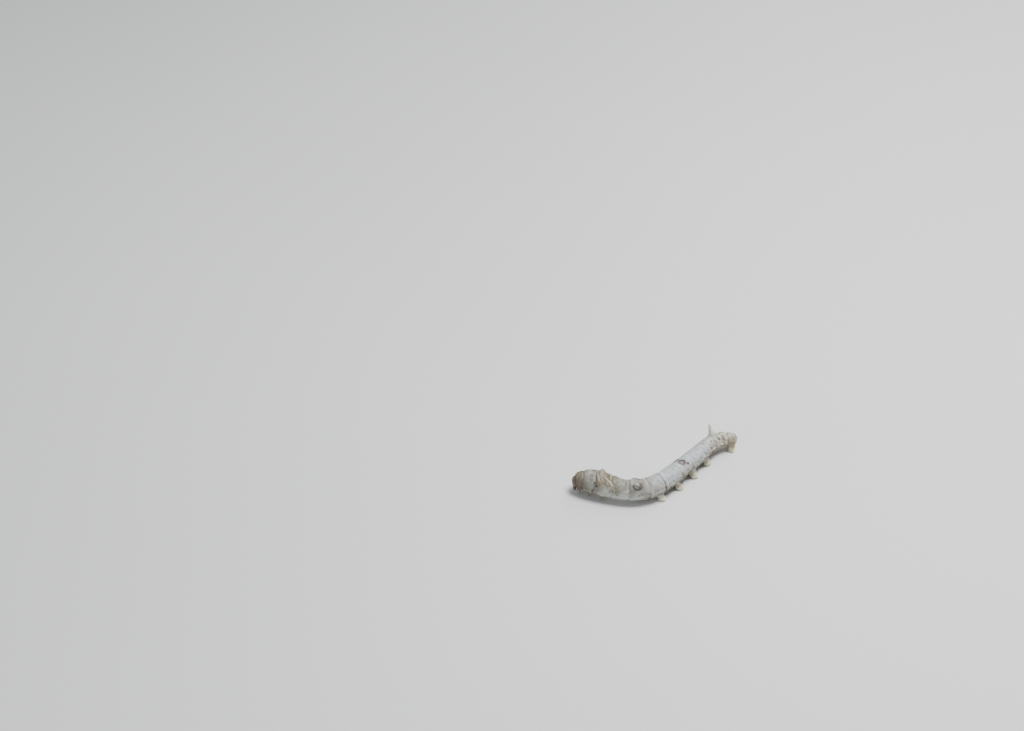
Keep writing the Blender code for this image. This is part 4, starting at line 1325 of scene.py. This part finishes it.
def part_of(bm, place):
    """Vertices and faces of a bmesh in the head's axes, always in the same order."""
    bmesh.ops.transform(bm, matrix=place, verts=bm.verts)
    bm.verts.index_update()
    points = [vert.co.copy() for vert in bm.verts]
    faces = sorted([vert.index for vert in face.verts] for face in bm.faces)
    bm.free()
    return points, faces


def eyes_of(side):
    """Directions of one side's eyes."""
    turned, raised, radius = EYE_ARC
    steps = [math.radians(step) for step in EYE_STEPS]
    places = [(turned + radius * math.cos(step), raised + radius * math.sin(step)) for step in steps]
    return [mirrored(head_direction(*place), side) for place in places + [LOWER_EYE]]


def head(place, material):
    """The head's shell, dark in its seams and round its eyes, and paler across the face."""
    bm = ball(6)
    eyes = eyes_of(1) + eyes_of(-1)
    shades = []
    for vert in bm.verts:
        direction = vert.co.normalized()
        near_eye = max(float(bump((direction - eye).length, 0.13)) for eye in eyes)
        x, _, z = direction
        cloud = noise.noise(direction * 2.3)
        crown = float(ease(z, 0.1, 0.9)) * (0.35 + 0.6 * cloud)
        dark = 0.65 * suture(direction) + 0.55 * near_eye + 0.30 * max(0.0, crown)
        pale = 0.40 * float(bump(z + 0.25, 0.3)) * float(ease(x, 0.2, 0.8)) * (1 - suture(direction))
        shades.append((min(1.0, max(0.0, dark)), min(1.0, max(0.0, pale + 0.25 * cloud)), 0))
        vert.co = head_surface(direction)
    piece = bm_piece("head_capsule", bm, place, material)
    set_colours(piece.data, "shades", np.array(shades))
    settle(piece, "head_shell", "head")


def head_eyes(place):
    """Six small glossy eyes low on each side of the head."""
    whole = bmesh.new()
    for side in (1, -1):
        for direction in eyes_of(side):
            at = head_surface(direction)
            bmesh.ops.create_uvsphere(whole, u_segments=20, v_segments=12, radius=EYE_RADIUS,
                                      matrix=Matrix.Translation(at - at.normalized() * EYE_SUNK))
    glossy = plain_material("eye", (0.006, 0.005, 0.005), (0.018, 0.012, 0.010), 5000, 0.22,
                            Specular_IOR_Level=0.35)
    add_piece("eyes", [part_of(whole, place)], glossy, "head_shell")


def shaped_ball(at, half, subdivisions, shape=None):
    bm = ball(subdivisions)
    for vert in bm.verts:
        direction = vert.co.normalized()
        point = Vector((direction.x * half.x, direction.y * half.y, direction.z * half.z))
        vert.co = at + (shape(direction, point) if shape else point)
    return bm


def mirrored(point, side):
    return Vector((point.x, point.y * side, point.z))


# Jointed feelers: share of the way from root to tip, and radius for the root's
ANTENNA_JOINTS = ((0, 1.0), (0.30, 0.95), (0.36, 0.88), (0.38, 0.66), (0.40, 0.64), (0.66, 0.60),
                  (0.70, 0.52), (0.72, 0.36), (0.74, 0.34), (0.92, 0.30), (1.0, 0.12))
PALP_JOINTS = ((0, 1.0), (0.35, 0.92), (0.42, 0.80), (0.46, 0.66), (0.80, 0.60), (0.86, 0.50),
               (0.90, 0.46), (1.0, 0.30))


def jointed(place, line, side, joints, sides):
    """A tapering jointed feeler along a line in the head's axes."""
    root, tip, radius = line
    root, tip = mirrored(root, side), mirrored(tip, side)
    return round_tube([place @ root.lerp(tip, share) for share, size in joints],
                      [radius * size for share, size in joints], sides)


def mouth(place, shell, dark_shell):
    """Upper lip, toothed jaws, lower lip with spinneret and palps, and the jointed feelers."""
    def notched(direction, point):
        return point + Vector((0, 0, 0.16 * float(bump(direction.y, 0.22)) * max(0.0, -direction.z)))

    def toothed(direction, point):
        teeth = 0.05 * math.cos(direction.x * 16) * max(0.0, -direction.z) ** 2
        return point * (1 + teeth)

    lip = bm_piece("upper_lip", shaped_ball(LABRUM_AT, LABRUM_HALF, 4, notched), place, shell)
    set_shades(lip.data, lambda co: (0.25, 0.25))
    settle(lip, "head_shell")
    for side, word in SIDES:
        ball_of_jaw = shaped_ball(mirrored(MANDIBLE_AT, side), MANDIBLE_HALF, 4, toothed)
        jaw = bm_piece("jaw_" + word, ball_of_jaw, place, dark_shell)
        set_shades(jaw.data, lambda co: (0.35, 0.0))
        settle(jaw, "head_shell", "mandible_" + word)
        feeler = add_piece("feeler_" + word, [jointed(place, ANTENNA, side, ANTENNA_JOINTS, 14)], shell,
                           "head_shell", "antenna_" + word)
        set_shades(feeler.data, lambda co: (0.0, 0.35))

    parts = [jointed(place, line, side, PALP_JOINTS, 12)
             for line, side in ((SPINNERET, 1), (PALP, 1), (PALP, -1))]
    parts.append(part_of(shaped_ball(LABIUM_AT, LABIUM_HALF, 4), place))
    lower = add_piece("lower_lip", parts, shell, "head_shell", "mouthparts")
    set_shades(lower.data, lambda co: (0.0, 0.45))


# Room, in metres: lights have a place, a size and watts, and all point to the middle
LIGHTS = (("key", (0.18, 0.04, 0.56), 0.25, 6.2), ("fill", (-0.40, -0.50, 0.35), 0.45, 1.1),
          ("back", (0.25, 0.50, 0.40), 0.40, 2.0))
SURROUND = (0.86, 0.92, 1.0, 1)
SURROUND_STRENGTH = 0.38
FLOOR_HALF = 1.5


def stage():
    """A pale floor, soft lights and a pale surround."""
    bm = bmesh.new()
    bmesh.ops.create_grid(bm, x_segments=8, y_segments=8, size=FLOOR_HALF)
    paint = plain_material("floor_paint", (0.60, 0.60, 0.59), (0.63, 0.63, 0.62), 2.0, 0.7)
    floor = add_object("floor", mesh_of("floor", bm), paint)
    world = bpy.data.worlds.new("surround")
    bpy.context.scene.world = world
    world.use_nodes = True
    background = world.node_tree.nodes["Background"]
    background.inputs["Color"].default_value = SURROUND
    background.inputs["Strength"].default_value = SURROUND_STRENGTH
    for name, place, size, power in LIGHTS:
        light = bpy.data.lights.new(name, "AREA")
        light.size = size
        light.energy = power
        lamp = linked(name, light)
        lamp.location = place
        lamp.rotation_euler = (-Vector(place)).to_track_quat("-Z", "Y").to_euler()


def camera():
    """Looks as the photo does: level with its horizon, its pixel for the worm's middle kept."""
    focus = DISTANCE / PIXEL
    x = (AT_PIXEL[0] - IMAGE[0] / 2) / focus
    y = -(AT_PIXEL[1] - IMAGE[1] / 2) / focus
    spread = math.sqrt(1 + x * x + y * y)
    raised = math.radians(ELEVATION)
    away = Vector((0, -math.cos(raised), math.sin(raised))) * (DISTANCE * spread)
    pitch = math.asin(spread * math.sin(raised) / math.sqrt(1 + y * y)) + math.atan(y)
    yaw = math.atan2(x, math.cos(pitch) + y * math.sin(pitch))
    data = bpy.data.cameras.new("photo_camera")
    data.sensor_width = SENSOR
    data.lens = SENSOR * focus / IMAGE[0]
    data.clip_start = 0.01
    data.clip_end = 20
    eye = linked("photo_camera", data)
    eye.location = (AT_PLACE + away) * MM
    eye.rotation_euler = (math.pi / 2 - pitch, 0, yaw)
    bpy.context.scene.camera = eye


def main():
    body = skin()
    tree = skin_tree(body)
    spiracles(tree)
    hairs(tree)
    crochets()
    leg_shell = horny_material("leg_shell", (0.33, 0.25, 0.16), (0.22, 0.155, 0.095), 1.0, 0.36)
    for leg in TRUE_LEGS:
        for side, word in SIDES:
            true_leg(leg, side, word, leg_shell)
    shell = horny_material("head_shell", (0.125, 0.089, 0.056), (0.055, 0.038, 0.025), 1.5, 0.34)
    dark_shell = horny_material("jaw_shell", (0.07, 0.045, 0.03), (0.035, 0.022, 0.016), 1.0, 0.28)
    place = head_axes()
    head(place, shell)
    head_eyes(place)
    mouth(place, shell, dark_shell)
    stage()
    camera()


main()
